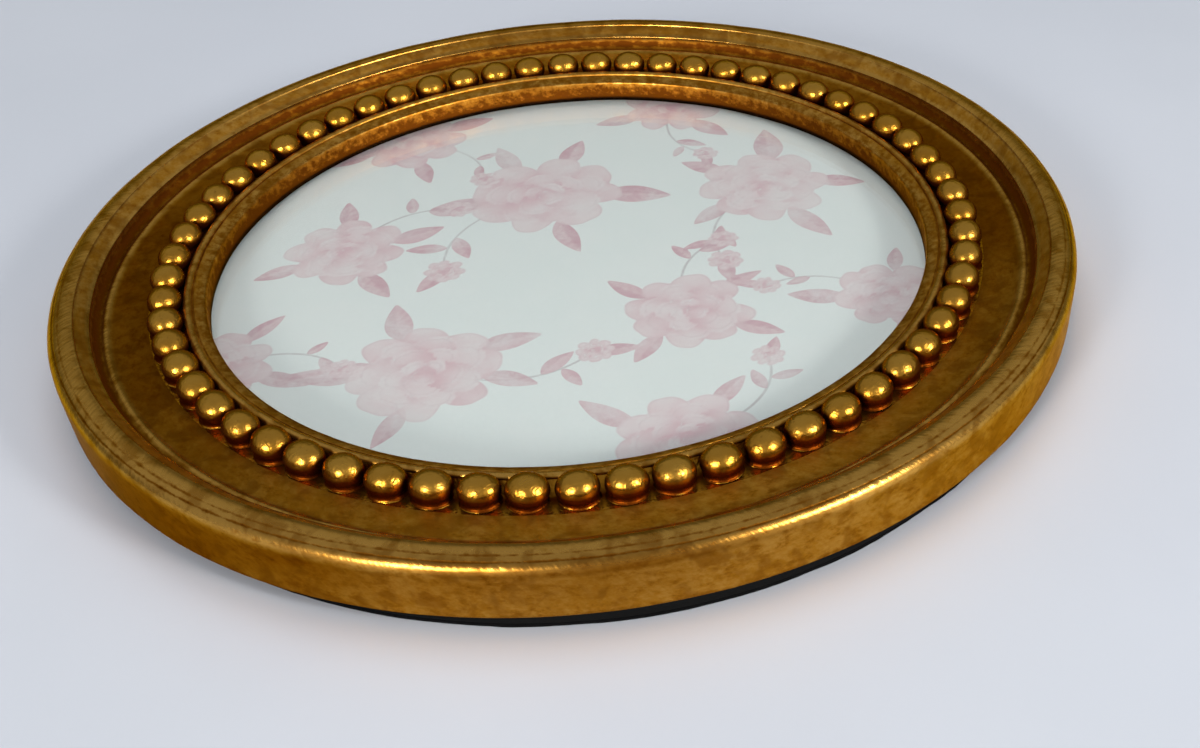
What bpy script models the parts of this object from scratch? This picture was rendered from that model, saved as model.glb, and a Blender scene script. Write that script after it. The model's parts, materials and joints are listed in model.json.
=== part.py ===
"""Round gilt picture frame: beaded moulding, glass, print, easel back and turn buttons.

Lengths are in metres. The frame lies face up: +Z points out of the picture, +Y is the top of the
picture, and the origin is the centre of the felt face that the frame rests on.
"""
from math import acos, atan2, cos, degrees, pi, radians, sin

import bmesh
import bpy
from mathutils import Matrix

# Print and glass
PRINT_RADIUS = 0.0762
PRINT_THICKNESS = 0.0002
GLASS_THICKNESS = 0.0016
GLASS_ARRIS = 0.0002
GLASS_CLEARANCE = 0.0008
LIP_OVERLAP = 0.0037

# Widths of the moulding's members, from the sight edge outwards
LIP_WIDTH = 0.0023
QUIRK_WIDTH = 0.0003
RIDGE_WIDTH = 0.0017
CHANNEL_WIDTH = 0.0070
FRIEZE_WIDTH = 0.0077
EDGE_WIDTH = 0.0003
COVE_WIDTH = 0.0021
SHOULDER_WIDTH = 0.0040
CREST_WIDTH = 0.0037

# Heights and roundings of the moulding's members
LIP_DEPTH = 0.0054
LIP_SLOPE = 0.00065
LIP_ROUND = 0.0006
QUIRK_DEPTH = 0.0004
RIDGE_RISE = 0.0005
CHANNEL_DEPTH = 0.0030
FRIEZE_DROP = 0.0019
FRIEZE_RISE = 0.0005
EDGE_RISE = 0.0004
COVE_RISE = 0.0022
SHOULDER_RISE = 0.0026
CREST_DROP = 0.00265
WALL_DRAFT = 0.00055
WALL_CHAMFER = 0.0004

# Bead strip
BEAD_PITCH = 0.00814
BEAD_PHASE = radians(0.64)
BEAD_SPACING = 0.0008
BEAD_CLEARANCE = 0.00015
BEAD_SINK = 0.0011
RIBBON_THICKNESS = 0.0011

# Backing ring and felt ring
RIB_WIDTH = 0.0090
RING_CLEARANCE = 0.0003
BACKING_INSET = 0.0017
BACKING_THICKNESS = 0.0019
FELT_THICKNESS = 0.0007
POCKET_WALL = 0.0026
POCKET_CLEARANCE = 0.0010

# Back panel
PANEL_THICKNESS = 0.0019
PANEL_CLEARANCE = 0.0006
PANEL_RECESS = 0.00015

# Easel hinge and leg
HINGE_OFFSET = 0.0200
KNUCKLE_RADIUS = 0.00075
KNUCKLE_CLEARANCE = 0.00015
KNUCKLE_PLAY = 0.0003
REST_CLEARANCE = 0.0001
PIN_RADIUS = 0.00035
PIN_CLEARANCE = 0.00003
PIN_HEAD_RADIUS = 0.0006
PIN_HEAD_THICKNESS = 0.0003
LEAF_THICKNESS = 0.0005
LEAF_WIDTH = 0.0220
LEAF_LENGTH = 0.0140
LEAF_CORNER = 0.0020
RIVET_EDGE = 0.0040
RIVET_SETBACK = 0.0080
RIVET_RADIUS = 0.0009
RIVET_HEAD_RADIUS = 0.0018
RIVET_HEAD_HEIGHT = 0.0005
LEG_THICKNESS = 0.0008
LEG_NECK_WIDTH = 0.0080
LEG_SHOULDER_WIDTH = 0.0160
LEG_SHOULDER_SLOPE = 0.0030
LEG_FOOT_WIDTH = 0.0240
LEG_FOOT_CORNER = 0.0040
LEG_CLEARANCE = 0.0008
LEG_RIB_WIDTH = 0.0040
LEG_RIB_HEIGHT = 0.00025
LEG_RIB_MARGIN = 0.0100

# Turn buttons and their screws
BUTTON_ANGLES = [radians(turn) for turn in (45, 135, 225, 315)]
BUTTON_THICKNESS = 0.00055
BUTTON_HEAD_RADIUS = 0.0034
BUTTON_TIP_RADIUS = 0.0016
BUTTON_OVERLAP = 0.0050
SCREW_RADIUS = 0.0009
SCREW_LENGTH = 0.0046
SCREW_POINT = 0.0012
SCREW_HEAD_RADIUS = 0.0022
SCREW_HEAD_HEIGHT = 0.0006
PILOT_RELIEF = 0.0003

# Fits and facets
SEAT_GAP = 0.0001
HOLE_CLEARANCE = 0.0001
CUT_MARGIN = 0.0010
WELD = 0.00001
RING_STEPS = 56
SMALL_STEPS = 16
ROUND_STEPS = 5
BEAD_SEGMENTS = 8
BEAD_RINGS = 6
SMOOTH_ANGLE = radians(35)

# Radii that follow from the sizes above
RABBET_RADIUS = PRINT_RADIUS + GLASS_CLEARANCE
PANEL_RADIUS = RABBET_RADIUS - PANEL_CLEARANCE
SIGHT_RADIUS = PRINT_RADIUS - LIP_OVERLAP
LIP_OUTER = SIGHT_RADIUS + LIP_WIDTH
RIDGE_INNER = LIP_OUTER + QUIRK_WIDTH
CHANNEL_INNER = RIDGE_INNER + RIDGE_WIDTH
CHANNEL_OUTER = CHANNEL_INNER + CHANNEL_WIDTH
FRIEZE_OUTER = CHANNEL_OUTER + FRIEZE_WIDTH
COVE_INNER = FRIEZE_OUTER + EDGE_WIDTH
CREST_MIDDLE = COVE_INNER + COVE_WIDTH + SHOULDER_WIDTH
OUTER_RADIUS = CREST_MIDDLE + CREST_WIDTH
SHOULDER_RADIUS = (SHOULDER_WIDTH ** 2 + SHOULDER_RISE ** 2) / (2 * SHOULDER_RISE)
SHOULDER_TURN = degrees(2 * atan2(SHOULDER_RISE, SHOULDER_WIDTH))
BEAD_CIRCLE = (CHANNEL_INNER + CHANNEL_OUTER) / 2
BEAD_RADIUS = CHANNEL_WIDTH / 2 - BEAD_CLEARANCE
BEAD_COUNT = round(2 * pi * BEAD_CIRCLE / BEAD_PITCH)
BEAD_HALF_LENGTH = (2 * pi * BEAD_CIRCLE / BEAD_COUNT - BEAD_SPACING) / 2
RIB_OUTER = RABBET_RADIUS + RIB_WIDTH
BACKING_INNER = RIB_OUTER + RING_CLEARANCE
BACKING_OUTER = OUTER_RADIUS - BACKING_INSET
POCKET_END = BACKING_OUTER - POCKET_WALL
FOOT_END = POCKET_END - LEG_CLEARANCE
LEG_LENGTH = HINGE_OFFSET + FOOT_END
PIVOT_RADIUS = RABBET_RADIUS + RIB_WIDTH / 2
BUTTON_REACH = PIVOT_RADIUS - PANEL_RADIUS + BUTTON_OVERLAP
PIN_BORE = PIN_RADIUS + PIN_CLEARANCE
RIVET_HOLE = RIVET_RADIUS + HOLE_CLEARANCE
RIVET_SPACING = LEAF_WIDTH - 2 * RIVET_EDGE
SCREW_HOLE = SCREW_RADIUS + HOLE_CLEARANCE

# Heights above the rest plane that follow from the sizes above
HINGE_HEIGHT = REST_CLEARANCE + KNUCKLE_RADIUS
PANEL_REAR = HINGE_HEIGHT + KNUCKLE_RADIUS + KNUCKLE_CLEARANCE
PANEL_FRONT = PANEL_REAR + PANEL_THICKNESS
PRINT_REAR = PANEL_FRONT + SEAT_GAP
PRINT_FRONT = PRINT_REAR + PRINT_THICKNESS
GLASS_REAR = PRINT_FRONT + SEAT_GAP
GLASS_FRONT = GLASS_REAR + GLASS_THICKNESS
LIP_REAR = GLASS_FRONT + SEAT_GAP
LIP_TOP = LIP_REAR + LIP_DEPTH
CHANNEL_FLOOR = LIP_TOP - CHANNEL_DEPTH
FRIEZE_FOOT = LIP_TOP - FRIEZE_DROP
FRIEZE_TOP = FRIEZE_FOOT + FRIEZE_RISE
COVE_TOP = FRIEZE_TOP + EDGE_RISE + COVE_RISE
CREST_TOP = COVE_TOP + SHOULDER_RISE
RIBBON_REAR = CHANNEL_FLOOR + SEAT_GAP
RIBBON_TOP = RIBBON_REAR + RIBBON_THICKNESS
BEAD_HEIGHT = RIBBON_TOP - BEAD_SINK + BEAD_RADIUS
BACKING_REAR = FELT_THICKNESS + SEAT_GAP
BACKING_FRONT = BACKING_REAR + BACKING_THICKNESS
WALL_REAR = BACKING_FRONT + SEAT_GAP
RIB_REAR = PANEL_REAR - PANEL_RECESS
BUTTON_FRONT = RIB_REAR - SEAT_GAP
BUTTON_REAR = BUTTON_FRONT - BUTTON_THICKNESS
SCREW_HEAD_FRONT = BUTTON_REAR - SEAT_GAP
SCREW_TIP = RIB_REAR + SCREW_LENGTH
LEAF_FRONT = PANEL_REAR - SEAT_GAP
LEAF_REAR = LEAF_FRONT - LEAF_THICKNESS
RIVET_HEAD_FRONT = LEAF_REAR - SEAT_GAP


def clear_scene():
    """Remove every object that the scene starts with."""
    for item in list(bpy.data.objects):
        bpy.data.objects.remove(item, do_unlink=True)


def new_collection(name):
    """Add a collection to the scene."""
    group = bpy.data.collections.new(name)
    bpy.context.scene.collection.children.link(group)
    return group


def new_material(name, colour, roughness, metallic=0.0, alpha=1.0):
    """Make a material with one Principled shader."""
    finish = bpy.data.materials.new(name)
    finish.use_nodes = True
    shader = finish.node_tree.nodes["Principled BSDF"]
    shader.inputs["Base Color"].default_value = (*colour, 1.0)
    shader.inputs["Roughness"].default_value = roughness
    shader.inputs["Metallic"].default_value = metallic
    shader.inputs["Alpha"].default_value = alpha
    return finish


def add_part(name, mesh, finish, place=(0.0, 0.0, 0.0), turn=0.0):
    """Put a mesh in the scene as a named sub-part with its origin at place."""
    part = bpy.data.objects.new(name, mesh)
    part.location = place
    part.rotation_euler = (0.0, 0.0, turn)
    part.data.materials.clear()
    part.data.materials.append(finish)
    parts.objects.link(part)
    return part


def add_cutter(name, mesh, place=(0.0, 0.0, 0.0)):
    """Put a mesh in the scene as a shape that only cuts or joins other shapes."""
    tool = bpy.data.objects.new(name, mesh)
    tool.location = place
    tool.hide_render = True
    tool.display_type = "WIRE"
    cutters.objects.link(tool)
    return tool


def combine(part, tool, operation):
    """Join a shape to a part, or cut it away."""
    step = part.modifiers.new(tool.name, "BOOLEAN")
    step.operation = operation
    step.solver = "EXACT"
    step.object = tool


def smooth(mesh):
    """Shade the round faces smooth and keep the corners sharp."""
    mesh.shade_smooth()
    mesh.set_sharp_from_angle(angle=SMOOTH_ANGLE)


def oval(centre, width, height, start, end, steps=ROUND_STEPS):
    """Give the points of an oval arc, with its two radii, between two angles in degrees."""
    turns = [radians(start + (end - start) * k / steps) for k in range(steps + 1)]
    return [(centre[0] + width * cos(turn), centre[1] + height * sin(turn)) for turn in turns]


def arc(centre, radius, start, end, steps=ROUND_STEPS):
    """Give the points of a round arc between two angles in degrees."""
    return oval(centre, radius, radius, start, end, steps)


def profile_mesh(name, points, closed):
    """Make a profile in the XZ plane from pairs of radius and height."""
    mesh = bpy.data.meshes.new(name)
    edges = [(k, k + 1) for k in range(len(points) - 1)]
    if closed:
        edges.append((len(points) - 1, 0))
    mesh.from_pydata([(radius, 0.0, height) for radius, height in points], edges, [])
    return mesh


def turn_profile(part, steps):
    """Turn a part's profile about its own Z axis."""
    screw = part.modifiers.new("turn", "SCREW")
    screw.axis = "Z"
    screw.angle = 2 * pi
    screw.steps = steps
    screw.render_steps = steps
    screw.use_merge_vertices = True
    screw.merge_threshold = WELD
    screw.use_smooth_shade = False


def cylinder_mesh(name, radius, low, high, spots=((0.0, 0.0),), steps=SMALL_STEPS):
    """Make upright cylinders between two heights, one at each spot."""
    shape = bmesh.new()
    for x, y in spots:
        bmesh.ops.create_cone(
            shape, cap_ends=True, segments=steps, radius1=radius, radius2=radius, depth=high - low,
            matrix=Matrix.Translation((x, y, (low + high) / 2)))
    return finish_mesh(shape, name)


def rod_mesh(name, radius, spans):
    """Make cylinders along X about the local origin, one for each span of x."""
    shape = bmesh.new()
    along_x = Matrix.Rotation(pi / 2, 4, "Y")
    for low, high in spans:
        bmesh.ops.create_cone(
            shape, cap_ends=True, segments=SMALL_STEPS, radius1=radius, radius2=radius,
            depth=high - low, matrix=Matrix.Translation(((low + high) / 2, 0.0, 0.0)) @ along_x)
    return finish_mesh(shape, name)


def box_mesh(name, low, high):
    """Make a box between two corners."""
    shape = bmesh.new()
    size = [b - a for a, b in zip(low, high)]
    middle = [(a + b) / 2 for a, b in zip(low, high)]
    bmesh.ops.create_cube(shape, size=1.0, matrix=Matrix.Translation(middle) @ Matrix.Diagonal((*size, 1.0)))
    return finish_mesh(shape, name)


def finish_mesh(shape, name):
    """Turn a bmesh into a mesh with that name."""
    mesh = bpy.data.meshes.new(name)
    shape.to_mesh(mesh)
    shape.free()
    return mesh


def plate_mesh(name, outlines, low, high):
    """Make a flat plate between two heights from an outline and any holes in it."""
    curve = bpy.data.curves.new(name, "CURVE")
    curve.dimensions = "2D"
    curve.fill_mode = "BOTH"
    curve.extrude = (high - low) / 2
    for outline in outlines:
        spline = curve.splines.new("POLY")
        spline.points.add(len(outline) - 1)
        for point, (x, y) in zip(spline.points, outline):
            point.co = (x, y, 0.0, 1.0)
        spline.use_cyclic_u = True
    holder = bpy.data.objects.new(name, curve)
    cutters.objects.link(holder)
    bpy.context.view_layer.update()
    flat = bpy.data.meshes.new_from_object(holder.evaluated_get(bpy.context.evaluated_depsgraph_get()))
    bpy.data.objects.remove(holder, do_unlink=True)
    shape = bmesh.new()
    shape.from_mesh(flat)
    bmesh.ops.remove_doubles(shape, verts=shape.verts, dist=WELD)
    bmesh.ops.translate(shape, verts=shape.verts, vec=(0.0, 0.0, (low + high) / 2))
    return finish_mesh(shape, name)


def ring_outline(radius, centre=(0.0, 0.0)):
    """Give the outline of a small round hole."""
    return arc(centre, radius, 0, 360 - 360 / SMALL_STEPS, SMALL_STEPS - 1)


def moulding_profile():
    """Give the moulding's section, clockwise from the top of the crest."""
    wall_foot = OUTER_RADIUS - WALL_DRAFT
    points = oval((CREST_MIDDLE, CREST_TOP - CREST_DROP), CREST_WIDTH, CREST_DROP, 90, 0)
    points += [(wall_foot, WALL_REAR + WALL_CHAMFER), (wall_foot - WALL_CHAMFER, WALL_REAR)]
    points += [(RIB_OUTER, WALL_REAR), (RIB_OUTER, RIB_REAR), (RABBET_RADIUS, RIB_REAR)]
    points += [(RABBET_RADIUS, LIP_REAR), (SIGHT_RADIUS, LIP_REAR)]
    edge_centre = (SIGHT_RADIUS + LIP_ROUND, LIP_TOP - LIP_SLOPE - LIP_ROUND)
    points += arc(edge_centre, LIP_ROUND, 180, 90, 2)
    points += [(LIP_OUTER, LIP_TOP), (LIP_OUTER + QUIRK_WIDTH / 2, LIP_TOP - QUIRK_DEPTH)]
    for k in range(ROUND_STEPS + 1):
        share = k / ROUND_STEPS
        points.append((RIDGE_INNER + RIDGE_WIDTH * share, LIP_TOP + RIDGE_RISE * sin(pi * share)))
    points += [(CHANNEL_INNER, CHANNEL_FLOOR), (CHANNEL_OUTER, CHANNEL_FLOOR)]
    points += [(CHANNEL_OUTER, FRIEZE_FOOT), (FRIEZE_OUTER, FRIEZE_TOP)]
    points += oval((COVE_INNER, COVE_TOP), COVE_WIDTH, COVE_RISE, -90, 0)
    centre = (CREST_MIDDLE, CREST_TOP - SHOULDER_RADIUS)
    shoulder = arc(centre, SHOULDER_RADIUS, 90 + SHOULDER_TURN, 90)
    return points + shoulder[1:-1]


def pivot_spots():
    """Give the place of each turn button's screw."""
    return [(PIVOT_RADIUS * cos(turn), PIVOT_RADIUS * sin(turn)) for turn in BUTTON_ANGLES]


def rivet_spots():
    """Give the place of each rivet."""
    y = HINGE_OFFSET + RIVET_SETBACK
    return [(-RIVET_SPACING / 2, y), (RIVET_SPACING / 2, y)]


def build_moulding(finish):
    """Turn the moulding and drill the screws' pilot holes in its rear rib."""
    part = add_part("moulding_ring", profile_mesh("moulding_ring", moulding_profile(), True), finish)
    turn_profile(part, RING_STEPS)
    top = SCREW_TIP + PILOT_RELIEF
    holes = cylinder_mesh("pilot_holes", SCREW_HOLE, RIB_REAR - CUT_MARGIN, top, pivot_spots())
    combine(part, add_cutter("pilot_holes", holes), "DIFFERENCE")


def build_bead_strip(finish):
    """Turn the ribbon that lies in the channel and join the row of beads to it."""
    inner = CHANNEL_INNER + BEAD_CLEARANCE
    outer = CHANNEL_OUTER - BEAD_CLEARANCE
    section = [(outer, RIBBON_TOP), (outer, RIBBON_REAR), (inner, RIBBON_REAR), (inner, RIBBON_TOP)]
    part = add_part("bead_strip", profile_mesh("bead_strip", section, True), finish)
    turn_profile(part, RING_STEPS)
    combine(part, add_cutter("beads", bead_row_mesh()), "UNION")


def bead_row_mesh():
    """Make the beads, each a slightly long ball cut flat inside the ribbon."""
    shape = bmesh.new()
    cut = RIBBON_TOP - RIBBON_THICKNESS / 2 - BEAD_HEIGHT
    stretch = Matrix.Diagonal((1.0, BEAD_HALF_LENGTH / BEAD_RADIUS, 1.0, 1.0))
    for k in range(BEAD_COUNT):
        turn = Matrix.Rotation(BEAD_PHASE + 2 * pi * k / BEAD_COUNT, 4, "Z")
        place = turn @ Matrix.Translation((BEAD_CIRCLE, 0.0, BEAD_HEIGHT))
        bead = bmesh.new()
        bmesh.ops.create_uvsphere(bead, u_segments=BEAD_SEGMENTS, v_segments=BEAD_RINGS, radius=BEAD_RADIUS)
        everything = bead.verts[:] + bead.edges[:] + bead.faces[:]
        bmesh.ops.bisect_plane(
            bead, geom=everything, plane_co=(0.0, 0.0, cut), plane_no=(0.0, 0.0, 1.0), clear_inner=True)
        rim = [edge for edge in bead.edges if edge.is_boundary]
        if rim:
            bmesh.ops.contextual_create(bead, geom=rim)
        bmesh.ops.recalc_face_normals(bead, faces=bead.faces[:])
        bmesh.ops.transform(bead, matrix=place @ stretch, verts=bead.verts[:])
        single = finish_mesh(bead, "bead")
        shape.from_mesh(single)
        bpy.data.meshes.remove(single)
    return finish_mesh(shape, "beads")


def build_rear_ring(name, low, high, finish):
    """Turn a flat ring for the back and cut the pocket that the leg's foot lies in."""
    section = [
        (BACKING_OUTER, high), (BACKING_OUTER, low), (BACKING_INNER, low), (BACKING_INNER, high)]
    part = add_part(name, profile_mesh(name, section, True), finish)
    turn_profile(part, RING_STEPS)
    half = LEG_FOOT_WIDTH / 2 + POCKET_CLEARANCE
    pocket = box_mesh(
        name + "_pocket", (-half, -POCKET_END, low - CUT_MARGIN), (half, -PANEL_RADIUS, high + CUT_MARGIN))
    combine(part, add_cutter(name + "_pocket", pocket), "DIFFERENCE")


def build_glass(finish):
    """Make the glass, with a small arris round both edges."""
    low = GLASS_REAR
    high = GLASS_FRONT
    ground = PRINT_RADIUS - GLASS_ARRIS
    section = [
        (0.0, high), (ground, high), (PRINT_RADIUS, high - GLASS_ARRIS),
        (PRINT_RADIUS, low + GLASS_ARRIS), (ground, low), (0.0, low)]
    part = add_part("glass_disc", profile_mesh("glass_disc", section, False), finish)
    turn_profile(part, RING_STEPS)


def build_print(finish):
    """Make the round sheet that carries the picture."""
    mesh = cylinder_mesh("print_sheet", PRINT_RADIUS, PRINT_REAR, PRINT_FRONT, steps=RING_STEPS)
    add_part("print_sheet", mesh, finish)


def build_back_panel(finish):
    """Make the back panel, with holes for the hinge rivets."""
    mesh = cylinder_mesh("back_panel", PANEL_RADIUS, PANEL_REAR, PANEL_FRONT, steps=RING_STEPS)
    part = add_part("back_panel", mesh, finish)
    holes = cylinder_mesh(
        "panel_rivet_holes", RIVET_HOLE, PANEL_REAR - CUT_MARGIN, PANEL_FRONT + CUT_MARGIN, rivet_spots())
    combine(part, add_cutter("panel_rivet_holes", holes), "DIFFERENCE")


def leaf_outline():
    """Give the hinge leaf's outline about the hinge axis, notched round the leg's knuckle."""
    half = LEAF_WIDTH / 2
    notch = LEG_NECK_WIDTH / 2 + KNUCKLE_PLAY
    depth = KNUCKLE_RADIUS + KNUCKLE_PLAY
    corner = LEAF_LENGTH - LEAF_CORNER
    points = [(notch, 0.0), (half, 0.0)]
    points += arc((half - LEAF_CORNER, corner), LEAF_CORNER, 0, 90)
    points += arc((LEAF_CORNER - half, corner), LEAF_CORNER, 90, 180)
    points += [(-half, 0.0), (-notch, 0.0), (-notch, depth), (notch, depth)]
    return points


def build_hinge_plate(finish):
    """Make the hinge's fixed leaf with its two knuckles."""
    place = (0.0, HINGE_OFFSET, HINGE_HEIGHT)
    holes = [ring_outline(RIVET_HOLE, (x, y - HINGE_OFFSET)) for x, y in rivet_spots()]
    mesh = plate_mesh(
        "hinge_plate", [leaf_outline()] + holes, LEAF_REAR - HINGE_HEIGHT, LEAF_FRONT - HINGE_HEIGHT)
    part = add_part("hinge_plate", mesh, finish, place)
    start = LEG_NECK_WIDTH / 2 + KNUCKLE_PLAY
    end = LEAF_WIDTH / 2
    knuckles = rod_mesh("hinge_knuckles", KNUCKLE_RADIUS, [(-end, -start), (start, end)])
    combine(part, add_cutter("hinge_knuckles", knuckles, place), "UNION")
    bore = rod_mesh("hinge_bore", PIN_BORE, [(-end - CUT_MARGIN, end + CUT_MARGIN)])
    combine(part, add_cutter("hinge_bore", bore, place), "DIFFERENCE")


def build_hinge_pin(finish):
    """Turn the hinge pin, with a small head at each end."""
    shank = LEAF_WIDTH / 2 + SEAT_GAP
    end = shank + PIN_HEAD_THICKNESS
    section = [(0.0, end), (PIN_HEAD_RADIUS, end), (PIN_HEAD_RADIUS, shank), (PIN_RADIUS, shank)]
    section += [(radius, -height) for radius, height in reversed(section)]
    part = add_part(
        "hinge_pin", profile_mesh("hinge_pin", section, False), finish, (0.0, HINGE_OFFSET, HINGE_HEIGHT))
    part.rotation_euler = (0.0, pi / 2, 0.0)
    turn_profile(part, SMALL_STEPS)


def leg_outline():
    """Give the leg's outline about the hinge axis, from its neck to its rounded foot."""
    neck = LEG_NECK_WIDTH / 2
    shoulder = LEG_SHOULDER_WIDTH / 2
    foot = LEG_FOOT_WIDTH / 2
    shoulder_top = -(KNUCKLE_RADIUS + KNUCKLE_PLAY)
    corner_height = LEG_FOOT_CORNER - LEG_LENGTH
    right = [(neck, 0.0), (neck, shoulder_top), (shoulder, shoulder_top - LEG_SHOULDER_SLOPE)]
    right += arc((foot - LEG_FOOT_CORNER, corner_height), LEG_FOOT_CORNER, 0, -90)
    left = [(-x, y) for x, y in reversed(right)]
    return right + left


def rib_outline():
    """Give the outline of the rib pressed along the leg."""
    radius = LEG_RIB_WIDTH / 2
    top = -LEG_RIB_MARGIN - radius
    bottom = LEG_RIB_MARGIN + radius - LEG_LENGTH
    return arc((0.0, top), radius, 0, 180) + arc((0.0, bottom), radius, 180, 360)


def build_strut_leg(finish):
    """Make the easel leg: a pressed plate with a rib and a rolled knuckle."""
    place = (0.0, HINGE_OFFSET, HINGE_HEIGHT)
    half = LEG_THICKNESS / 2
    part = add_part("strut_leg", plate_mesh("strut_leg", [leg_outline()], -half, half), finish, place)
    rib = plate_mesh("leg_rib", [rib_outline()], -half - LEG_RIB_HEIGHT, 0.0)
    combine(part, add_cutter("leg_rib", rib, place), "UNION")
    neck = LEG_NECK_WIDTH / 2
    knuckle = rod_mesh("leg_knuckle", KNUCKLE_RADIUS, [(-neck, neck)])
    combine(part, add_cutter("leg_knuckle", knuckle, place), "UNION")
    bore = rod_mesh("leg_bore", PIN_BORE, [(-neck - CUT_MARGIN, neck + CUT_MARGIN)])
    combine(part, add_cutter("leg_bore", bore, place), "DIFFERENCE")


def dome_points(radius, low, high):
    """Give a low domed head's section from its middle, at low, out to its rim, at high."""
    return oval((0.0, high), radius, high - low, -90, 0)


def build_rivets(finish):
    """Make the two rivets that hold the hinge leaf to the back panel."""
    head = dome_points(RIVET_HEAD_RADIUS, RIVET_HEAD_FRONT - RIVET_HEAD_HEIGHT, RIVET_HEAD_FRONT)
    tail = PANEL_FRONT - SEAT_GAP
    section = [(0.0, tail), (RIVET_RADIUS, tail), (RIVET_RADIUS, RIVET_HEAD_FRONT)] + head[::-1]
    for side, (x, y) in zip(("left", "right"), rivet_spots()):
        name = "rivet_" + side
        part = add_part(name, profile_mesh(name, section, False), finish, (x, y, 0.0))
        turn_profile(part, SMALL_STEPS)


def button_outline():
    """Give a turn button's outline: a round head drawn in to a smaller round tip along +X."""
    tip = BUTTON_REACH - BUTTON_TIP_RADIUS
    lean = acos((BUTTON_HEAD_RADIUS - BUTTON_TIP_RADIUS) / tip) * 180 / pi
    head = arc((0.0, 0.0), BUTTON_HEAD_RADIUS, lean, 360 - lean, 2 * ROUND_STEPS)
    return head + arc((tip, 0.0), BUTTON_TIP_RADIUS, -lean, lean)


def build_turn_buttons(finish):
    """Make the turn buttons, each pivoted on its screw and pointing at the middle."""
    middle = (BUTTON_REAR + BUTTON_FRONT) / 2
    half = BUTTON_THICKNESS / 2
    for k, turn in enumerate(BUTTON_ANGLES, 1):
        name = f"turn_button_{k}"
        mesh = plate_mesh(name, [button_outline(), ring_outline(SCREW_HOLE)], -half, half)
        place = (PIVOT_RADIUS * cos(turn), PIVOT_RADIUS * sin(turn), middle)
        add_part(name, mesh, finish, place, turn + pi)


def build_screws(finish):
    """Make the round-head screws that the turn buttons pivot on."""
    head = dome_points(SCREW_HEAD_RADIUS, SCREW_HEAD_FRONT - SCREW_HEAD_HEIGHT, SCREW_HEAD_FRONT)
    section = [(0.0, SCREW_TIP), (SCREW_RADIUS, SCREW_TIP - SCREW_POINT), (SCREW_RADIUS, SCREW_HEAD_FRONT)]
    section += head[::-1]
    for k, (x, y) in enumerate(pivot_spots(), 1):
        name = f"button_screw_{k}"
        part = add_part(name, profile_mesh(name, section, False), finish, (x, y, 0.0))
        turn_profile(part, SMALL_STEPS)


def main():
    """Build every sub-part of the frame."""
    gilt = new_material("gilt", (0.42, 0.23, 0.05), 0.38, 0.9)
    pearl_gilt = new_material("pearl_gilt", (0.48, 0.27, 0.06), 0.3, 0.9)
    board = new_material("black_board", (0.02, 0.02, 0.022), 0.8)
    felt = new_material("black_felt", (0.012, 0.012, 0.014), 0.95)
    glass = new_material("clear_glass", (0.9, 0.95, 0.94), 0.03, 0.0, 0.2)
    paper = new_material("print_paper", (0.72, 0.68, 0.66), 0.6)
    panel = new_material("hardboard", (0.16, 0.09, 0.05), 0.7)
    steel = new_material("blacked_steel", (0.05, 0.05, 0.055), 0.4, 0.6)
    brass = new_material("brass_plate", (0.55, 0.38, 0.13), 0.35, 0.9)
    zinc = new_material("zinc_steel", (0.55, 0.55, 0.53), 0.35, 0.9)
    build_moulding(gilt)
    build_bead_strip(pearl_gilt)
    build_rear_ring("backing_ring", BACKING_REAR, BACKING_FRONT, board)
    build_rear_ring("felt_ring", 0.0, FELT_THICKNESS, felt)
    build_glass(glass)
    build_print(paper)
    build_back_panel(panel)
    build_hinge_plate(steel)
    build_hinge_pin(zinc)
    build_strut_leg(steel)
    build_rivets(zinc)
    build_turn_buttons(brass)
    build_screws(zinc)
    for part in parts.objects:
        smooth(part.data)


clear_scene()
parts = new_collection("round_picture_frame")
cutters = new_collection("cutters")
main()
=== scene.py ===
"""Looks of a round gilt picture frame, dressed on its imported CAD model.

Lengths are in metres. The frame lies face up: +Z points out of the picture, +Y is the top of the
picture, and the origin is the centre of the felt face that the frame rests on.
"""
from __future__ import annotations

import json
import logging
import math
import random
from collections.abc import Sequence
from dataclasses import dataclass
from enum import Enum

import bmesh
import bpy
import numpy as np
from mathutils import Matrix, Vector, noise


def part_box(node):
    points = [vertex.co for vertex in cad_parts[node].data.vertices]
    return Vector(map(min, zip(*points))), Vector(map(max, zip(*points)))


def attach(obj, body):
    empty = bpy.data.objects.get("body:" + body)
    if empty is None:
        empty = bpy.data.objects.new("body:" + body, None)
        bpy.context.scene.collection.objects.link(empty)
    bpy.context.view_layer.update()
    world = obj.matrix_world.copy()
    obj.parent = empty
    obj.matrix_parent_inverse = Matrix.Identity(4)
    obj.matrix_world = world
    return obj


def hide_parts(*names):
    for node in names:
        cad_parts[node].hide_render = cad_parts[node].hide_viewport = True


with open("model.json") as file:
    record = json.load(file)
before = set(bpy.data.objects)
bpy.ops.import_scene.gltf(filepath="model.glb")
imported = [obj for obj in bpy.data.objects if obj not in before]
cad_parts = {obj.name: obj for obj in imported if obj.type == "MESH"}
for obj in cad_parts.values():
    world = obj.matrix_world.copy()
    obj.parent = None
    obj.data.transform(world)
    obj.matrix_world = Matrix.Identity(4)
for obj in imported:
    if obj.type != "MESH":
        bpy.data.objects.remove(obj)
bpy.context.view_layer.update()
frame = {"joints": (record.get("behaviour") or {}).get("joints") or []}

LOG = logging.getLogger("round_frame")
FULL_TURN = 2 * math.pi
WELD = 1e-7
SHARP_ANGLE = math.radians(38)
SEAT_GAP = 0.0001
STROKE_CIRCLE = 0.1
MILLIMETRES = 1000.0

Colour = tuple[float, float, float]
Point = tuple[float, float]
Socket = bpy.types.NodeSocket
Shape = bmesh.types.BMesh
Material = bpy.types.Material
Piece = bpy.types.Object


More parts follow.
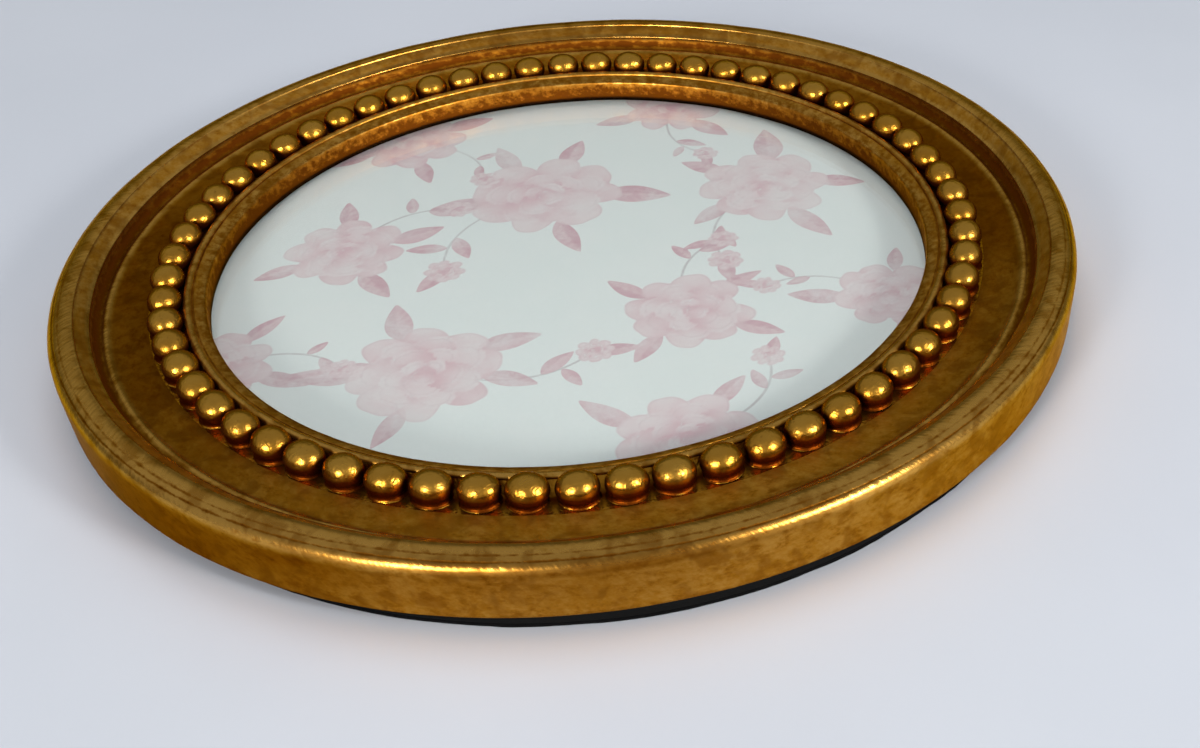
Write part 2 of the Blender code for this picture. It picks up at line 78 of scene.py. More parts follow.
class Body(Enum):
    """The CAD bodies that pieces ride on; the turn buttons' bodies are numbered."""

    FRAME = "frame"
    STRUT = "strut"
    BUTTON = "button_{}"


class Slot(Enum):
    """The record's material slots."""

    GILT = "gilt"
    PEARL = "pearl_gilt"
    BOARD = "black_board"
    FELT = "black_felt"
    GLASS = "clear_glass"
    PAPER = "print_paper"
    HARDBOARD = "hardboard"
    STEEL = "blacked_steel"
    BRASS = "brass_plate"
    ZINC = "zinc_steel"


class Graph:
    """Short calls that build one material's nodes."""

    def __init__(self, name: str) -> None:
        """Start a material that holds only its shader.

        Args:
            name: The material's name.
        """
        self.material = bpy.data.materials.new(name)
        self.material.use_nodes = True
        self.tree = self.material.node_tree
        self.shader = self.tree.nodes["Principled BSDF"]
        self._coords = None

    def node(self, kind: str, **settings: object) -> bpy.types.Node:
        """Add a node.

        Args:
            kind: The node's type, without its ShaderNode prefix.
            settings: Values for the node's own properties.

        Returns:
            The new node.
        """
        made = self.tree.nodes.new("ShaderNode" + kind)
        for key, value in settings.items():
            setattr(made, key, value)
        return made

    def feed(self, socket: Socket, value: object) -> None:
        """Link a socket to another node's output, or set its own value.

        Args:
            socket: The input to fill.
            value: An output socket, a number or a colour.
        """
        if isinstance(value, Socket):
            self.tree.links.new(value, socket)
        elif isinstance(value, tuple) and socket.type == "RGBA":
            socket.default_value = (*value, 1.0)
        else:
            socket.default_value = value

    def set(self, **values: object) -> None:
        """Fill the shader's sockets, named with underscores for spaces."""
        for key, value in values.items():
            self.feed(self.shader.inputs[key.replace("_", " ")], value)

    def coords(self) -> Socket:
        """Give the Object coordinates, in metres.

        Returns:
            The coordinates' socket.
        """
        if self._coords is None:
            self._coords = self.node("TexCoord").outputs["Object"]
        return self._coords

    def attribute(self, name: str) -> Socket:
        """Give a number that is stored on the mesh's points."""
        return self.node("Attribute", attribute_name=name).outputs["Fac"]

    def noise(
        self, scale: float, detail: float = 4.0, roughness: float = 0.55,
        distortion: float = 0.0, vector: Socket | None = None,
    ) -> Socket:
        """Add a noise texture.

        Args:
            scale: How many times the noise repeats in a metre.
            detail: The number of finer layers.
            roughness: How strong the finer layers are.
            distortion: How far the noise is swirled.
            vector: Where to read it; Object coordinates if none is given.

        Returns:
            The noise, about 0.5 in the mean.
        """
        made = self.node("TexNoise")
        self.feed(made.inputs["Vector"], vector or self.coords())
        values = {"Scale": scale, "Detail": detail, "Roughness": roughness, "Distortion": distortion}
        for key, value in values.items():
            made.inputs[key].default_value = value
        return made.outputs[0]

    def math(self, operation: str, *values: object) -> Socket:
        """Combine numbers with a Math node.

        Args:
            operation: What the node does.
            values: Its inputs, in order.

        Returns:
            The result.
        """
        made = self.node("Math", operation=operation)
        for socket, value in zip(made.inputs, values):
            self.feed(socket, value)
        return made.outputs[0]

    def total(self, base: float, *terms: tuple[object, float]) -> Socket | float:
        """Add weighted numbers to a base value.

        Args:
            base: The value to start from.
            terms: Pairs of a number and its weight.

        Returns:
            The sum.
        """
        value = base
        for number, weight in terms:
            value = self.math("MULTIPLY_ADD", number, weight, value)
        return value

    def span(
        self, value: Socket, low: float, high: float,
        to_low: float = 0.0, to_high: float = 1.0,
    ) -> Socket:
        """Ease a number from one range into another.

        Args:
            value: The number.
            low: Where the range starts.
            high: Where the range ends.
            to_low: The result at and below the start.
            to_high: The result at and above the end.

        Returns:
            The eased number.
        """
        made = self.node("MapRange", interpolation_type="SMOOTHSTEP")
        for socket, item in zip(made.inputs, (value, low, high, to_low, to_high)):
            self.feed(socket, item)
        return made.outputs[0]

    def mix(self, share: object, first: object, second: object, blend: str = "MIX") -> Socket:
        """Mix two colours.

        Args:
            share: How much of the second colour there is.
            first: A colour or an output.
            second: A colour or an output.
            blend: The Mix node's blend type.

        Returns:
            The mixed colour.
        """
        made = self.node("Mix", data_type="RGBA", blend_type=blend)
        for index, value in ((0, share), (6, first), (7, second)):
            self.feed(made.inputs[index], value)
        return made.outputs[2]

    def bump(self, height: Socket, depth: float, strength: float = 1.0) -> None:
        """Raise the shader's surface by a height from 0 to 1.

        Args:
            height: The height.
            depth: How far the height 1 stands up, in metres.
            strength: How much of it shows.
        """
        made = self.node("Bump")
        made.inputs["Strength"].default_value = strength
        made.inputs["Distance"].default_value = depth
        self.feed(made.inputs["Height"], height)
        self.set(Normal=made.outputs["Normal"])

    def ring_strokes(self, slant: float, squeeze: float) -> Socket:
        """Give coordinates whose noise makes short strokes across the moulding, from its girth attribute.

        Args:
            slant: How far the strokes lean along the ring.
            squeeze: How much longer than wide the strokes are.

        Returns:
            The stroke coordinates.
        """
        parts = self.node("SeparateXYZ")
        self.feed(parts.inputs[0], self.coords())
        x, y, _ = parts.outputs
        flat = self.math("SQRT", self.math("MULTIPLY_ADD", x, x, self.math("MULTIPLY", y, y)))
        across = self.attribute("girth")
        lean = self.math("MULTIPLY", across, slant)
        unit_x = self.math("DIVIDE", x, flat)
        unit_y = self.math("DIVIDE", y, flat)
        aside_x = self.math("MULTIPLY", unit_y, self.math("MULTIPLY", lean, -1.0))
        aside_y = self.math("MULTIPLY", unit_x, lean)
        joined = self.node("CombineXYZ")
        places = (
            self.math("MULTIPLY_ADD", unit_x, STROKE_CIRCLE, aside_x),
            self.math("MULTIPLY_ADD", unit_y, STROKE_CIRCLE, aside_y),
            self.math("MULTIPLY", across, 1.0 / squeeze))
        for socket, value in zip(joined.inputs, places):
            self.feed(socket, value)
        return joined.outputs[0]


@dataclass(frozen=True)
class GiltFinish:
    """Antiqued gold leaf over a red ground: worn on the edges, which are also painted lighter as painted
    highlights, dark in the recesses with grime and painted shade, and painted darker on the sides of the
    ring.
    """

    bright: Colour = (0.52, 0.285, 0.060)
    leaf: Colour = (0.40, 0.182, 0.016)
    tarnish: Colour = (0.240, 0.092, 0.008)
    ground: Colour = (0.085, 0.022, 0.0015)
    face: Colour = (0.88, 0.89, 0.62)
    # Tint multiplied in as painted shade on the sides of the ring, the wall and the crest.
    patina: Colour = (0.42, 0.30, 0.12)
    # Near-black of the painted shadow at the foot of the sight wall, in the gap next to the glass.
    gap: Colour = (0.004, 0.002, 0.001)
    rim_tint: Colour = (0.90, 0.62, 0.26)
    blotch_scale: float = 60.0
    patch_scale: float = 210.0
    flake_scale: float = 380.0
    stroke_scale: float = 1100.0
    speck_scale: float = 1300.0
    patch_share: float = 0.60
    smoothest: float = 0.15
    relief: float = 0.00011

    def material(self) -> Material:
        """Build the moulding's gilt, which reads the attributes girth, dirt_and_shade (grime and painted
        shade), line, rub_and_highlight (worn places and painted highlights), deep and side_shade (painted
        shade).

        Returns:
            The material.
        """
        g = Graph("gilt_leaf")
        deep = g.attribute("deep")
        rub_and_highlight = g.attribute("rub_and_highlight")
        blotch = g.noise(self.blotch_scale, 3.0)
        patch = g.noise(self.patch_scale, 3.0, 0.55, 0.6)
        flake = g.noise(self.flake_scale, 6.0, 0.68, 0.0, g.ring_strokes(0.2, 0.6))
        speck = g.noise(self.speck_scale, 4.0, 0.65, 0.0, g.ring_strokes(0.3, 0.7))
        strokes = g.noise(self.stroke_scale, 1.0, 0.5, 0.0, g.ring_strokes(0.75, 4.0))
        broken = g.math("MULTIPLY", g.attribute("line"), g.span(speck, 0.36, 0.62, 0.85, 1.10))
        # Grime and painted shade in the recesses, with the crest's darker lines.
        dirt_and_shade = g.math("ADD", g.attribute("dirt_and_shade"), broken)
        wear_and_painted_light = g.total(-0.30, (flake, 1.00), (blotch, 0.25), (speck, 0.18), (dirt_and_shade, 0.42), (rub_and_highlight, -0.06))
        tarnished = g.span(wear_and_painted_light, 0.40, 0.70)
        bare_and_shaded = g.span(wear_and_painted_light, 0.66, 0.92)
        # Lighter leaf from random tone and from painted highlights on the crest, the shoulder, the roll, the
        # ridge and the lip.
        shine = g.total(0.0, (flake, -0.70), (blotch, 0.40), (speck, 0.40), (strokes, 0.20), (rub_and_highlight, 0.35))
        colour = g.mix(g.span(shine, 0.02, 0.40), self.leaf, self.bright)
        colour = g.mix(tarnished, colour, self.tarnish)
        colour = g.mix(g.span(patch, 0.46, 0.66, 0.0, self.patch_share), colour, self.tarnish)
        colour = g.mix(deep, colour, g.mix(1.0, colour, self.face, "MULTIPLY"))
        # Painted shade: darker on the sides of the face, on the wall and on the near and far crest.
        colour = g.mix(g.attribute("side_shade"), colour, g.mix(1.0, colour, self.patina, "MULTIPLY"))
        # The red ground where the marks are strongest; in the cove and on the sight wall it is painted shade
        # as well as grime.
        colour = g.mix(bare_and_shaded, colour, self.ground)
        # Painted shadow: near-black where grime and painted shade are strongest, at the foot of the sight
        # wall.
        colour = g.mix(g.span(g.attribute("dirt_and_shade"), 1.5, 2.6), colour, self.gap)
        rough = g.total(0.37, (speck, 0.08), (tarnished, 0.08), (bare_and_shaded, 0.12), (rub_and_highlight, -0.20), (deep, 0.12))
        g.set(Base_Color=colour, Metallic=1.0, Roughness=g.math("MAXIMUM", rough, self.smoothest))
        g.set(Specular_Tint=self.rim_tint)
        brushed = g.math("MULTIPLY", strokes, g.span(rub_and_highlight, 0.1, 0.8, 0.15, 1.0))
        height = g.total(0.2, (brushed, 0.75), (speck, 0.15), (flake, 0.10))
        g.bump(height, self.relief, 0.7)
        return g.material


@dataclass(frozen=True)
class PearlFinish:
    """Burnished leaf on the pearls, painted paler on their tops as painted light, and brown round their feet
    with grime and painted shade.
    """

    crown: Colour = (0.48, 0.265, 0.045)
    side: Colour = (0.37, 0.165, 0.014)
    # Dark of grime and painted shade low on the pearls and between them.
    foot: Colour = (0.072, 0.015, 0.001)
    rim_tint: Colour = (0.50, 0.30, 0.10)
    blotch_scale: float = 260.0
    dent_scale: float = 850.0
    speck_scale: float = 1100.0
    relief: float = 0.00026

    def material(self) -> Material:
        """Build the pearls' gilt, which reads the attributes crown (painted light on the tops), foot (grime
        and painted shade, with painted glints on the flange) and tone.

        Returns:
            The material.
        """
        g = Graph("pearl_leaf")
        crown = g.attribute("crown")
        foot = g.attribute("foot")
        tone = g.attribute("tone")
        blotch = g.noise(self.blotch_scale, 4.0, 0.6, 0.5)
        speck = g.noise(self.speck_scale, 4.0, 0.62)
        dents = g.noise(self.dent_scale, 1.0, 0.5, 0.8)
        # Painted light: paler towards the tops of the pearls.
        pale = g.span(g.total(-0.30, (crown, 0.75), (blotch, 0.45), (tone, 0.25)), 0.0, 1.0)
        # Grime and painted shade low down and between the pearls.
        darkness = g.span(g.total(-0.42, (foot, 0.95), (blotch, 0.40), (speck, 0.30)), 0.05, 0.75)
        colour = g.mix(pale, self.side, self.crown)
        colour = g.mix(g.span(speck, 0.58, 0.80, 0.0, 0.45), colour, self.foot)
        colour = g.mix(darkness, colour, self.foot)
        g.set(Base_Color=colour, Metallic=1.0, Roughness=g.total(0.21, (blotch, 0.10), (darkness, 0.18)))
        g.set(Specular_Tint=self.rim_tint)
        g.bump(g.total(0.1, (blotch, 0.35), (dents, 0.65)), self.relief, 0.7)
        return g.material


@dataclass(frozen=True)
class BoardFinish:
    """Black dyed board."""

    dark: Colour = (0.0012, 0.0012, 0.0012)
    scuffed: Colour = (0.005, 0.0048, 0.0048)
    patch_scale: float = 120.0
    fibre_scale: float = 900.0
    relief: float = 0.0001

    def material(self) -> Material:
        """Build the board, scuffed along its fibres.

        Returns:
            The material.
        """
        g = Graph("black_board")
        fibre = g.noise(self.fibre_scale, 5.0, 0.65)
        patch = g.noise(self.patch_scale, 3.0)
        scuff = g.span(g.total(0.0, (fibre, 0.6), (patch, 0.4)), 0.5, 0.75)
        g.set(Base_Color=g.mix(scuff, self.dark, self.scuffed), Roughness=g.total(0.68, (fibre, 0.25)))
        g.set(Specular_IOR_Level=0.08)
        g.bump(fibre, self.relief, 0.6)
        return g.material


@dataclass(frozen=True)
class FeltFinish:
    """Black felt with lint in it."""

    dark: Colour = (0.0012, 0.0012, 0.0014)
    lint: Colour = (0.009, 0.009, 0.010)
    clump_scale: float = 240.0
    mat_scale: float = 1700.0
    relief: float = 0.0004

    def material(self) -> Material:
        """Build the felt, matted at two sizes.

        Returns:
            The material.
        """
        g = Graph("black_felt")
        mat = g.noise(self.mat_scale, 5.0, 0.7, 1.2)
        clump = g.noise(self.clump_scale, 4.0)
        share = g.span(g.total(0.0, (mat, 0.65), (clump, 0.35)), 0.48, 0.78)
        g.set(Base_Color=g.mix(share, self.dark, self.lint), Roughness=0.95)
        g.set(Sheen_Weight=0.015, Sheen_Roughness=0.6, Specular_IOR_Level=0.05)
        g.bump(g.total(0.0, (mat, 0.7), (clump, 0.3)), self.relief, 0.8)
        return g.material


@dataclass(frozen=True)
class GlassFinish:
    """Clear picture glass with a few wiping marks."""

    tint: Colour = (0.975, 0.99, 0.985)
    index: float = 1.5
    wipe_scale: float = 45.0
    smear: float = 0.06

    def material(self) -> Material:
        """Build the glass.

        Returns:
            The material.
        """
        g = Graph("clear_glass")
        wiped = g.noise(self.wipe_scale, 4.0, 0.6, 1.5)
        g.set(Base_Color=self.tint, Roughness=g.span(wiped, 0.45, 0.75, 0.0, self.smear))
        g.set(Transmission_Weight=1.0, IOR=self.index)
        return g.material


@dataclass(frozen=True)
class PrintFinish:
    """Pale sheet printed with dusty pink flowers."""

    paper: Colour = (0.63, 0.695, 0.68)
    faded: Colour = (0.665, 0.71, 0.695)
    dots: Colour = (0.45, 0.45, 0.45)
    stem: Colour = (0.36, 0.34, 0.35)
    leaf_pale: Colour = (0.545, 0.400, 0.425)
    leaf_deep: Colour = (0.470, 0.290, 0.325)
    petal_pale: Colour = (0.620, 0.555, 0.560)
    petal_deep: Colour = (0.550, 0.365, 0.400)
    edge: Colour = (0.490, 0.355, 0.385)
    wash_scale: float = 95.0
    grain_scale: float = 1300.0
    relief: float = 0.00002

    @staticmethod
    def ink(g: Graph, kind: str, wash: Socket, pale: Colour, deep: Colour) -> Socket:
        """Give a motif's ink, which is deeper where its stored tone and the wash are.

        Args:
            g: The material's nodes.
            kind: The motif's field.
            wash: The uneven wash of the whole print.
            pale: The lightest ink.
            deep: The darkest ink.

        Returns:
            The ink's colour.
        """
        tone = g.total(-0.25, (g.attribute(kind + "_tone"), 1.0), (wash, 0.5))
        return g.mix(g.span(tone, 0.0, 1.0), pale, deep)

    def material(self) -> Material:
        """Build the print, which reads the distances and tones stored by the flower design.

        Returns:
            The material.
        """
        g = Graph("flower_print")
        wash = g.noise(self.wash_scale, 4.0, 0.6, 0.4)
        grain = g.noise(self.grain_scale, 4.0, 0.65)
        fade = g.span(g.total(0.0, (wash, 0.75), (grain, 0.25)), 0.30, 0.62, 0.45, 1.0)
        colour = g.mix(g.span(wash, 0.35, 0.75, 0.0, 0.5), self.paper, self.faded)
        stem = g.span(g.attribute("stem"), -0.10, 0.16)
        colour = g.mix(g.math("MULTIPLY", stem, g.math("MULTIPLY", fade, 0.75)), colour, self.stem)
        leaf = g.span(g.attribute("leaf"), -0.05, 0.12)
        ink = self.ink(g, "leaf", wash, self.leaf_pale, self.leaf_deep)
        colour = g.mix(g.math("MULTIPLY", leaf, fade), colour, ink)
        bloom_field = g.attribute("bloom")
        bloom = g.span(bloom_field, -0.16, 0.26)
        rim = g.math("MULTIPLY", bloom, g.span(bloom_field, 0.15, 0.65, 0.35, 0.0))
        ink = g.mix(rim, self.ink(g, "bloom", wash, self.petal_pale, self.petal_deep), self.edge)
        colour = g.mix(g.math("MULTIPLY", bloom, g.span(fade, 0.45, 1.0, 0.75, 1.0)), colour, ink)
        colour = g.mix(g.span(grain, 0.35, 0.75, 0.0, 0.10), colour, self.dots)
        g.set(Base_Color=colour, Roughness=g.total(0.45, (grain, 0.2)))
        g.bump(grain, self.relief, 0.3)
        return g.material


@dataclass(frozen=True)
class HardboardFinish:
    """Brown hardboard, its pressed face pale with dust."""

    dark: Colour = (0.105, 0.058, 0.031)
    pale: Colour = (0.235, 0.148, 0.085)
    patch_scale: float = 40.0
    shred_scale: float = 520.0
    mesh_scale: float = 620.0
    mesh_jitter: float = 0.25
    relief: float = 0.00015

    def material(self) -> Material:
        """Build the board, with fibres lying every way and the mesh mark of its press.

        Returns:
            The material.
        """
        g = Graph("brown_hardboard")
        shreds = g.noise(self.shred_scale, 6.0, 0.7, 2.0)
        patch = g.noise(self.patch_scale, 3.0)
        weave = g.node("TexVoronoi", feature="DISTANCE_TO_EDGE")
        g.feed(weave.inputs["Vector"], g.coords())
        weave.inputs["Scale"].default_value = self.mesh_scale
        weave.inputs["Randomness"].default_value = self.mesh_jitter
        mark = g.span(weave.outputs[0], 0.0, 0.18)
        share = g.span(g.total(-0.05, (shreds, 0.7), (patch, 0.3), (mark, 0.12)), 0.32, 0.78)
        g.set(Base_Color=g.mix(share, self.dark, self.pale), Roughness=g.total(0.62, (shreds, 0.3)))
        g.bump(g.total(0.0, (shreds, 0.5), (mark, 0.5)), self.relief, 0.6)
        return g.material


@dataclass(frozen=True)
class PlateFinish:
    """Plated or blacked sheet metal, rubbed here and there."""

    name: str
    skin: Colour
    dull: Colour
    metallic: float
    roughness: float
    grain_scale: float = 700.0
    grain_stretch: tuple[float, float, float] = (6.0, 0.5, 3.0)
    patch_scale: float = 160.0
    relief: float = 0.00003

    def material(self) -> Material:
        """Build the plated metal, with fine drawn lines and duller patches.

        Returns:
            The material.
        """
        g = Graph(self.name)
        stretch = g.node("Mapping")
        g.feed(stretch.inputs["Vector"], g.coords())
        stretch.inputs["Scale"].default_value = self.grain_stretch
        lines = g.noise(self.grain_scale, 4.0, 0.6, 0.0, stretch.outputs[0])
        patch = g.noise(self.patch_scale, 5.0, 0.65, 0.6)
        dull = g.span(g.total(0.0, (patch, 0.8), (lines, 0.2)), 0.42, 0.72)
        rough = g.total(self.roughness, (dull, 0.20), (lines, 0.10))
        g.set(Base_Color=g.mix(dull, self.skin, self.dull), Metallic=self.metallic, Roughness=rough)
        g.bump(lines, self.relief, 0.4)
        return g.material


@dataclass(frozen=True)
class FloorFinish:
    """Smooth pale table top."""

    pale: Colour = (0.635, 0.670, 0.740)
    shade: Colour = (0.610, 0.645, 0.715)
    cloud_scale: float = 7.0
    grain_scale: float = 900.0
    relief: float = 0.00003

    def material(self) -> Material:
        """Build the table top, with the faintest cloudiness.

        Returns:
            The material.
        """
        g = Graph("pale_table")
        cloud = g.span(g.noise(self.cloud_scale, 3.0), 0.35, 0.65)
        grain = g.noise(self.grain_scale, 3.0)
        g.set(Base_Color=g.mix(cloud, self.pale, self.shade), Roughness=g.total(0.55, (grain, 0.2)))
        g.bump(grain, self.relief, 0.2)
        return g.material


BLACKED_STEEL = PlateFinish("blacked_steel", (0.045, 0.045, 0.050), (0.020, 0.019, 0.019), 0.75, 0.30)
BRASS_PLATE = PlateFinish("brass_plate", (0.62, 0.43, 0.16), (0.33, 0.20, 0.07), 1.0, 0.22)
ZINC_PLATE = PlateFinish("zinc_plate", (0.58, 0.585, 0.575), (0.33, 0.33, 0.31), 1.0, 0.28)


def arc(centre: Point, reach: Point, start: float, end: float, steps: int) -> list[Point]:
    """Give points along part of an ellipse.

    Args:
        centre: The ellipse's middle.
        reach: Its half width and half height.
        start: The first angle, in degrees.
        end: The last angle, in degrees.
        steps: How many steps lie between the ends.

    Returns:
        The points, ends included.
    """
    angles = [math.radians(start + (end - start) * k / steps) for k in range(steps + 1)]
    return [(centre[0] + reach[0] * math.cos(a), centre[1] + reach[1] * math.sin(a)) for a in angles]


def straight(start: Point, end: Point, steps: int) -> list[Point]:
    """Give points along a straight line.

    Args:
        start: Where it starts.
        end: Where it ends.
        steps: How many steps lie between the ends.

    Returns:
        The points, ends included.
    """
    run, rise = end[0] - start[0], end[1] - start[1]
    return [(start[0] + run * k / steps, start[1] + rise * k / steps) for k in range(steps + 1)]


def turned(profile: Sequence[Point], steps: int, closed: bool) -> Shape:
    """Turn a profile about the Z axis.

    Args:
        profile: Points of radius and height.
        steps: How many facets go round.
        closed: Whether the last point joins the first.

    Returns:
        The turned shape, with its faces outwards.
    """
    shape = bmesh.new()
    points = [shape.verts.new((radius, 0.0, height)) for radius, height in profile]
    pairs = list(zip(points, points[1:]))
    if closed:
        pairs.append((points[-1], points[0]))
    edges = [shape.edges.new(pair) for pair in pairs]
    bmesh.ops.spin(
        shape, geom=points + edges, cent=(0.0, 0.0, 0.0), axis=(0.0, 0.0, 1.0), dvec=(0.0, 0.0, 0.0),
        angle=FULL_TURN, steps=steps, use_merge=True, use_duplicate=False)
    bmesh.ops.remove_doubles(shape, verts=shape.verts[:], dist=WELD)
    bmesh.ops.recalc_face_normals(shape, faces=shape.faces[:])
    return shape


def bevel(
    shape: Shape, geometry: list, offset: float, affect: str, segments: int,
) -> None:
    """Round some corners or edges of a shape.

    Args:
        shape: The shape.
        geometry: Its points or edges to round.
        offset: The size of the rounding.
        affect: VERTICES or EDGES.
        segments: How many facets each rounding has.
    """
    bmesh.ops.bevel(
        shape, geom=geometry, offset=offset, offset_type="OFFSET", affect=affect, segments=segments,
        profile=0.5, material=-1, clamp_overlap=True)


def plate(
    corners: Sequence[Point], low: float, high: float, rim: float,
    rounded: slice = slice(0), corner_round: float = 0.0,
) -> Shape:
    """Make a flat plate with eased rims.

    Args:
        corners: The outline's corners, in order.
        low: The height of its rear face.
        high: The height of its front face.
        rim: The size of the eased rims.
        rounded: Which corners are rounded.
        corner_round: The size of their rounding; none if 0.

    Returns:
        The plate.
    """
    shape = bmesh.new()
    points = [shape.verts.new((x, y, low)) for x, y in corners]
    shape.faces.new(points)
    if corner_round > 0:
        bevel(shape, points[rounded], corner_round, "VERTICES", 6)
    raised = bmesh.ops.extrude_face_region(shape, geom=shape.faces[:])
    tops = [item for item in raised["geom"] if isinstance(item, bmesh.types.BMVert)]
    bmesh.ops.translate(shape, verts=tops, vec=(0.0, 0.0, high - low))
    bmesh.ops.recalc_face_normals(shape, faces=shape.faces[:])
    rims = [edge for edge in shape.edges if edge.calc_face_angle(0.0) > SHARP_ANGLE]
    bevel(shape, rims, rim, "EDGES", 2)
    return shape


def move(shape: Shape, matrix: Matrix) -> None:
    """Move all of a shape by a matrix."""
    bmesh.ops.transform(shape, matrix=matrix, verts=shape.verts[:])


def block(low: Sequence[float], high: Sequence[float]) -> Shape:
    """Make a box to cut with.

    Args:
        low: Its lowest corner.
        high: Its highest corner.

    Returns:
        The box.
    """
    shape = bmesh.new()
    bmesh.ops.create_cube(shape, size=1.0)
    size = Vector(high) - Vector(low)
    bmesh.ops.scale(shape, vec=size, verts=shape.verts[:])
    bmesh.ops.translate(shape, vec=(Vector(high) + Vector(low)) / 2, verts=shape.verts[:])
    return shape


def take_mesh(name: str, shape: Shape) -> bpy.types.Mesh:
    """Turn a shape into a mesh, and free it.

    Args:
        name: The mesh's name.
        shape: The shape.

    Returns:
        The mesh.
    """
    mesh = bpy.data.meshes.new(name)
    shape.to_mesh(mesh)
    shape.free()
    return mesh


def add_shape(target: Shape, extra: Shape) -> None:
    """Move all of one shape into another, and free it.

    Args:
        target: The shape that grows.
        extra: The shape that goes into it.
    """
    carrier = take_mesh("carrier", extra)
    target.from_mesh(carrier)
    bpy.data.meshes.remove(carrier)


def store(mesh: bpy.types.Mesh, name: str, values: Sequence[float]) -> None:
    """Keep one number for each point of a mesh, for its material to read."""
    layer = mesh.attributes.new(name, "FLOAT", "POINT")
    layer.data.foreach_set("value", np.asarray(values, np.float32))


def place_object(name: str, data: bpy.types.ID) -> Piece:
    """Add a mesh, a lamp or a camera to the scene.

    Args:
        name: The object's name.
        data: What it shows.

    Returns:
        The object, at the origin.
    """
    made = bpy.data.objects.new(name, data)
    bpy.context.scene.collection.objects.link(made)
    return made


def finish_piece(
    name: str, shape: Shape, material: Material, node: str,
    body: str = Body.FRAME.value,
) -> Piece:
    """Turn a shape into a piece that rides on a body and stands for a CAD node.

    Args:
        name: The piece's name.
        shape: Its finished shape, which is freed.
        material: Its finish.
        node: The CAD node that it stands for.
        body: The CAD body that it rides on.

    Returns:
        The piece.
    """
    mesh = take_mesh(name, shape)
    mesh.polygons.foreach_set("use_smooth", [True] * len(mesh.polygons))
    mesh.set_sharp_from_angle(angle=SHARP_ANGLE)
    mesh.materials.append(material)
    piece = place_object(name, mesh)
    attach(piece, body)
    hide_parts(node)
    LOG.info("%s: %d faces, on %s", name, len(mesh.polygons), body)
    return piece


def cut_away(piece: Piece, tool: Shape) -> None:
    """Cut a shape out of a piece for good.

    Args:
        piece: The piece to cut.
        tool: The shape to take away, which is freed.
    """
    mesh = take_mesh("cutter", tool)
    cutter = place_object("cutter", mesh)
    cut = piece.modifiers.new("cut", "BOOLEAN")
    cut.object = cutter
    cut.operation = "DIFFERENCE"
    cut.solver = "EXACT"
    graph = bpy.context.evaluated_depsgraph_get()
    result = bpy.data.meshes.new_from_object(piece.evaluated_get(graph))
    piece.modifiers.remove(cut)
    old = piece.data
    result.name = piece.name
    piece.data = result
    piece.data.set_sharp_from_angle(angle=SHARP_ANGLE)
    bpy.data.meshes.remove(old)
    bpy.data.objects.remove(cutter)
    bpy.data.meshes.remove(mesh)


def held(value: float) -> float:
    """Hold a number between 0 and 1."""
    return min(1.0, max(0.0, value))


def flat_radius(point: Vector) -> float:
    """Give a point's distance from the Z axis."""
    return math.hypot(point.x, point.y)


@dataclass(frozen=True)
class Spot:
    """A place on the moulding's profile where worn leaf, grime, painted shade and painted highlights gather.
    """

    radius: float
    height: float
    spread: float
    strength: float

    def share(self, radius: float, height: float) -> float:
        """Give how strongly the mark shows at a radius and a height of the profile."""
        gap = math.hypot(radius - self.radius, height - self.height) / self.spread
        return self.strength * math.exp(-gap * gap)


